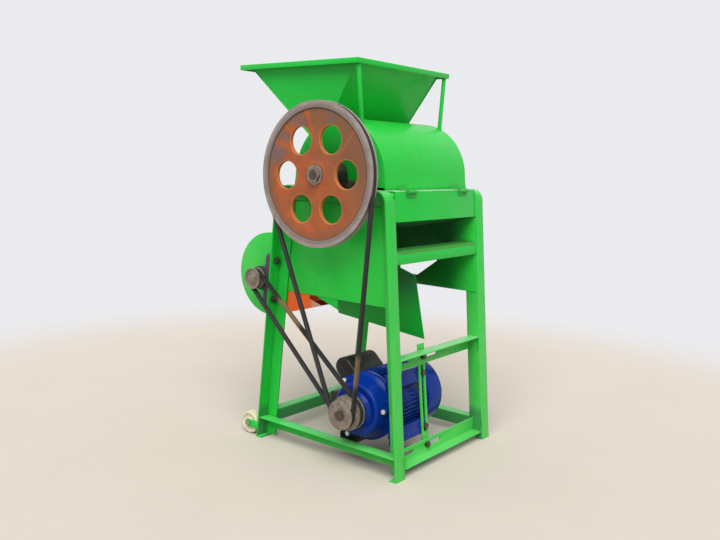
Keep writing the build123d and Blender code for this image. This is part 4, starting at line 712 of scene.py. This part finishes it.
def bead(line, radius):
    """Weld bead along a line of points: a tube whose radius swells and shrinks by 0.15 of itself with the
    sine of the length, one wave in 2.4 radii, and closes with the square root of the distance from each
    end. The ring round the line starts square to a direction that no bead follows."""
    line = np.array(line, float)
    at = np.concatenate(([0], np.cumsum(np.linalg.norm(np.diff(line, axis=0), axis=1))))
    along = np.linspace(0, at[-1], max(int(at[-1] / (0.6 * radius)), 8))
    path = np.stack([np.interp(along, at, line[:, axis]) for axis in range(3)], -1)
    way = np.gradient(path, axis=0)
    way /= np.linalg.norm(way, axis=1, keepdims=True)
    askew = 0.31, 0.52, 0.79
    side = np.cross(way, askew)
    side /= np.linalg.norm(side, axis=1, keepdims=True)
    other = np.cross(way, side)
    ends = np.minimum(along, at[-1] - along)
    ripple = 1 + 0.15 * np.sin(2 * pi * along / (2.4 * radius))
    size = radius * ripple * np.sqrt(np.minimum(ends / radius, 1))
    ring = np.linspace(0, 2 * pi, 8, endpoint=False)[None, :, None]
    round_line = np.cos(ring) * side[:, None] + np.sin(ring) * other[:, None]
    return path[:, None] + size[:, None, None] * round_line, False, True


def box_centre(node):
    low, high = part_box(node)
    return (low + high) / 2


# Drum pulley casting: grooved rim, web with rounded holes, and hub
pulley_centre = Vector((drum_axis.x, drum_belt_y, drum_axis.z))
rim_profile = rounded([
    (159.5, -10.0, 0.8), (176.5, -10.0, 0.8), (176.5, -7.4, 0.5), (166.2, -3.7, 0.5), (166.2, 3.7, 0.5),
    (176.5, 7.4, 0.5), (176.5, 10.0, 0.8), (159.5, 10.0, 0.8), (158.5, 4.0, 2.0), (154.0, 2.5, 1.5),
    (154.0, -6.5, 1.0), (157.5, -7.8, 1.5)])
hub_profile = rounded([
    (12.6, -8.5, 0.6), (29.0, -8.5, 1.2), (34.0, -6.5, 1.5), (34.0, 2.5, 1.0), (30.0, 6.0, 3.0),
    (29.0, 37.0, 1.5), (12.6, 37.0, 0.6)])
web = holed_web(pulley_centre, inner=0.028, outer=0.1575, circle=pulley_hole_circle, hole=pulley_hole_radius,
                count=pulley_holes, turn=pulley_hole_turn, front=-0.0070, rear=0.0030, edge=0.0012)
rim_and_hub = [lathe(profile, pulley_centre) for profile in (rim_profile, hub_profile)]
casting = add_piece("drum_pulley_casting", rim_and_hub + web, "drum", finish_of_slot["rusty_iron"])
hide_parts("drum_pulley")

# Fan pulley with a turned recess in its front, and the nylon wheels with a rounded tread
fan_profile = rounded([
    (12.6, -12.0, 0.6), (17.0, -12.0, 0.8), (18.0, -9.0, 1.0), (23.5, -9.0, 1.0), (24.5, -12.0, 0.8),
    (28.0, -12.0, 0.8), (28.0, -7.4, 0.5), (17.8, -3.7, 0.5), (17.8, 3.7, 0.5), (28.0, 7.4, 0.5),
    (28.0, 12.0, 0.8), (12.6, 12.0, 0.6)])
fan_centre = Vector((fan_axis.x, fan_belt_y, fan_axis.z))
fan_sheave = add_piece("turned_fan_pulley", [lathe(fan_profile, fan_centre, 96)], "fan",
                       finish_of_slot["grey_iron"])
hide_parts("fan_pulley")
wheel_profile = rounded([
    (5.2, -12.0, 0.5), (11.5, -12.0, 1.0), (13.0, -8.5, 1.2), (21.5, -8.5, 2.0), (23.5, -12.0, 1.0),
    (31.0, -12.0, 4.5), (31.0, 12.0, 4.5), (23.5, 12.0, 1.0), (21.5, 8.5, 2.0), (13.0, 8.5, 1.2),
    (11.5, 12.0, 1.0), (5.2, 12.0, 0.5)])
for name in ("wheel_front", "wheel_rear"):
    tyre = add_piece(f"cast_{name}", [lathe(wheel_profile, box_centre(name), 96)], name,
                     finish_of_slot["cream_plastic"])
    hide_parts(name)

# Weld beads, along lines in metres: x from the drum axis, y from the middle of the stand, z from the floor.
# A bead's own size is its radius. The hopper narrows to its neck, which the cover's curve cuts
origin = np.array((drum_axis.x, stand_middle_y, 0.0))
stand_bead = 0.0020
cover_bead = 0.0014
seam_bead = 0.0034
plate_foot_x = 0.2376
plate_lean = 0.0610 / 0.690
plate_weld = 0.622, 0.690
plate_weld_y = 0.184
bar_weld_y = 0.1845
bar_welds = (0.1898, 0.521, 0.551), (0.2131, 0.254, 0.290), (0.2371, 0.022, 0.058)
cover_curve = 0.146
cover_curve_z = 0.7225
neck_right = -0.0476, 0.1658, 0.8605
neck_left = -0.1100, 0.1612, 0.8187
neck_side_y = 0.1664
neck_side_z = 0.866
neck_side_lean = 0.1086
hopper_right_x = 0.0465
hopper_left_x = -0.3165
hopper_side_y = 0.1815
hopper_top_z = 1.004
rod_foot_x = 0.061
rod_foot_y = 0.173
rod_foot_ring = 0.0062
rod_foot_curve_z = 0.7230
rod_foot_start = 0.7
back_seam_x = -0.1872
back_seam_half = 0.1825
back_seam_z = 0.5563
stand_lines = []
cover_lines = []
for side in (-1, 1):
    stand_lines.append([(plate_foot_x - plate_lean * z, side * plate_weld_y, z) for z in plate_weld])
    for face, low, high in bar_welds:
        stand_lines.append([(face, side * bar_weld_y, z) for z in (low, high)])
    for corner_x, (x, half, z) in ((hopper_right_x, neck_right), (hopper_left_x, neck_left)):
        cover_lines.append([(corner_x, side * hopper_side_y, hopper_top_z), (x, side * half, z)])
    x = np.linspace(neck_left[0], neck_right[0], 16)
    z = cover_curve_z + np.sqrt(cover_curve ** 2 - x ** 2)
    cover_lines.append(np.stack((x, side * (neck_side_y + (z - neck_side_z) * neck_side_lean), z), -1))
    ring = np.linspace(rod_foot_start, rod_foot_start + 2 * pi, 24)
    x = rod_foot_x + rod_foot_ring * np.cos(ring)
    y = side * rod_foot_y + rod_foot_ring * np.sin(ring)
    cover_lines.append(np.stack((x, y, rod_foot_curve_z + np.sqrt(cover_curve ** 2 - x ** 2)), -1))
for x, half, z in (neck_right, neck_left):
    cover_lines.append([(x, -half, z), (x, half, z)])
back_seam = [(back_seam_x, side * back_seam_half, back_seam_z) for side in (-1, 1)]
stand_beads = [bead(np.array(line) + origin, stand_bead) for line in stand_lines]
cover_beads = [bead(np.array(line) + origin, cover_bead) for line in cover_lines]
stand_beads.append(bead(np.array(back_seam) + origin, seam_bead))
add_piece("stand_welds", stand_beads, "stand", green)
add_piece("cover_welds", cover_beads, "cover", green)

# Floor and light. The floor is paler to the camera than it is as a source of light, and away from the part
# what the camera sees of it passes into the white behind
sky_seen = 0.86
sky_light = 0.56
fade_start = 1.25
fade_end = 2.1


def seen_directly(t):
    """1 for rays from the camera, a mirror or glass, and 0 for the rays that light a surface."""
    path = t.node("ShaderNodeLightPath").outputs
    return t.math("MAXIMUM", t.math("MAXIMUM", path["Is Camera Ray"], path["Is Glossy Ray"]),
                  path["Is Transmission Ray"])


floor_material, t, shader = new_material("pale_floor", Roughness=0.9, Specular_IOR_Level=0.2)
seen = seen_directly(t)
patches = t.effect("blotches", Scale=3.0, Cover=0.5, Soft=0.4)
t.put(shader["Base Color"], t.mix(seen, FLOOR_BOUNCE, t.mix(patches["Mask"], FLOOR, FLOOR_SHADE)))
far = t.step(t.vector("LENGTH", t.place(), output="Value"), fade_start, fade_end)
white = t.node("ShaderNodeEmission", {"Color": WHITE_SKY, "Strength": sky_seen}).outputs[0]
surface = floor_material.node_tree.nodes["Principled BSDF"].outputs[0]
fade = t.node("ShaderNodeMixShader", {0: t.math("MULTIPLY", far, seen), 1: surface, 2: white})
t.links.new(fade.outputs[0], floor_material.node_tree.nodes["Material Output"].inputs["Surface"])
floor_mesh = bpy.data.meshes.new("floor")
reach = 12.0
floor_mesh.from_pydata([(-reach, -reach, 0), (reach, -reach, 0), (reach, reach, 0), (-reach, reach, 0)], [],
                       [(0, 1, 2, 3)])
floor_mesh.materials.append(floor_material)
floor = bpy.data.objects.new("floor", floor_mesh)
bpy.context.scene.collection.objects.link(floor)

world = bpy.data.worlds.new("white_sky")
world.use_nodes = True
bpy.context.scene.world = world
sky = world.node_tree.nodes["Background"].inputs
sky["Color"].default_value = WHITE_SKY
t = Tree(world.node_tree)
t.put(sky["Strength"], t.math("MULTIPLY_ADD", seen_directly(t), sky_seen - sky_light, sky_light))

sun_data = bpy.data.lights.new("soft_sun", "SUN")
sun_way = Vector((-0.38, 0.58, -0.90))
sun_data.energy = 2.6
sun_data.angle = radians(50)
sun = bpy.data.objects.new("soft_sun", sun_data)
sun.rotation_mode = "QUATERNION"
sun.rotation_quaternion = sun_way.to_track_quat("-Z", "Y")
bpy.context.scene.collection.objects.link(sun)

# Camera where the photograph was taken from
camera_place = Vector((drum_axis.x + 1.2684, front_y - 1.4659, 0.7696))
camera_azimuth = radians(38.31)
camera_fall = radians(8.55)
camera_roll = radians(1.70)
lens_mm = 39.24
picture_width = 720
shift_pixels = 6.44
back = Vector((sin(camera_azimuth) * cos(camera_fall), -cos(camera_azimuth) * cos(camera_fall),
               sin(camera_fall)))
right = Vector((cos(camera_azimuth), sin(camera_azimuth), 0))
up = back.cross(right)
turned_right = right * cos(camera_roll) + up * sin(camera_roll)
turned_up = up * cos(camera_roll) - right * sin(camera_roll)
camera_data = bpy.data.cameras.new("photo_view")
camera_data.sensor_width = 36.0
camera_data.lens = lens_mm
camera_data.shift_y = shift_pixels / picture_width
camera = bpy.data.objects.new("photo_view", camera_data)
camera.matrix_world = Matrix((turned_right, turned_up, back)).transposed().to_4x4()
camera.location = camera_place
bpy.context.scene.collection.objects.link(camera)
bpy.context.scene.camera = camera
bpy.context.scene.view_settings.view_transform = "Standard"
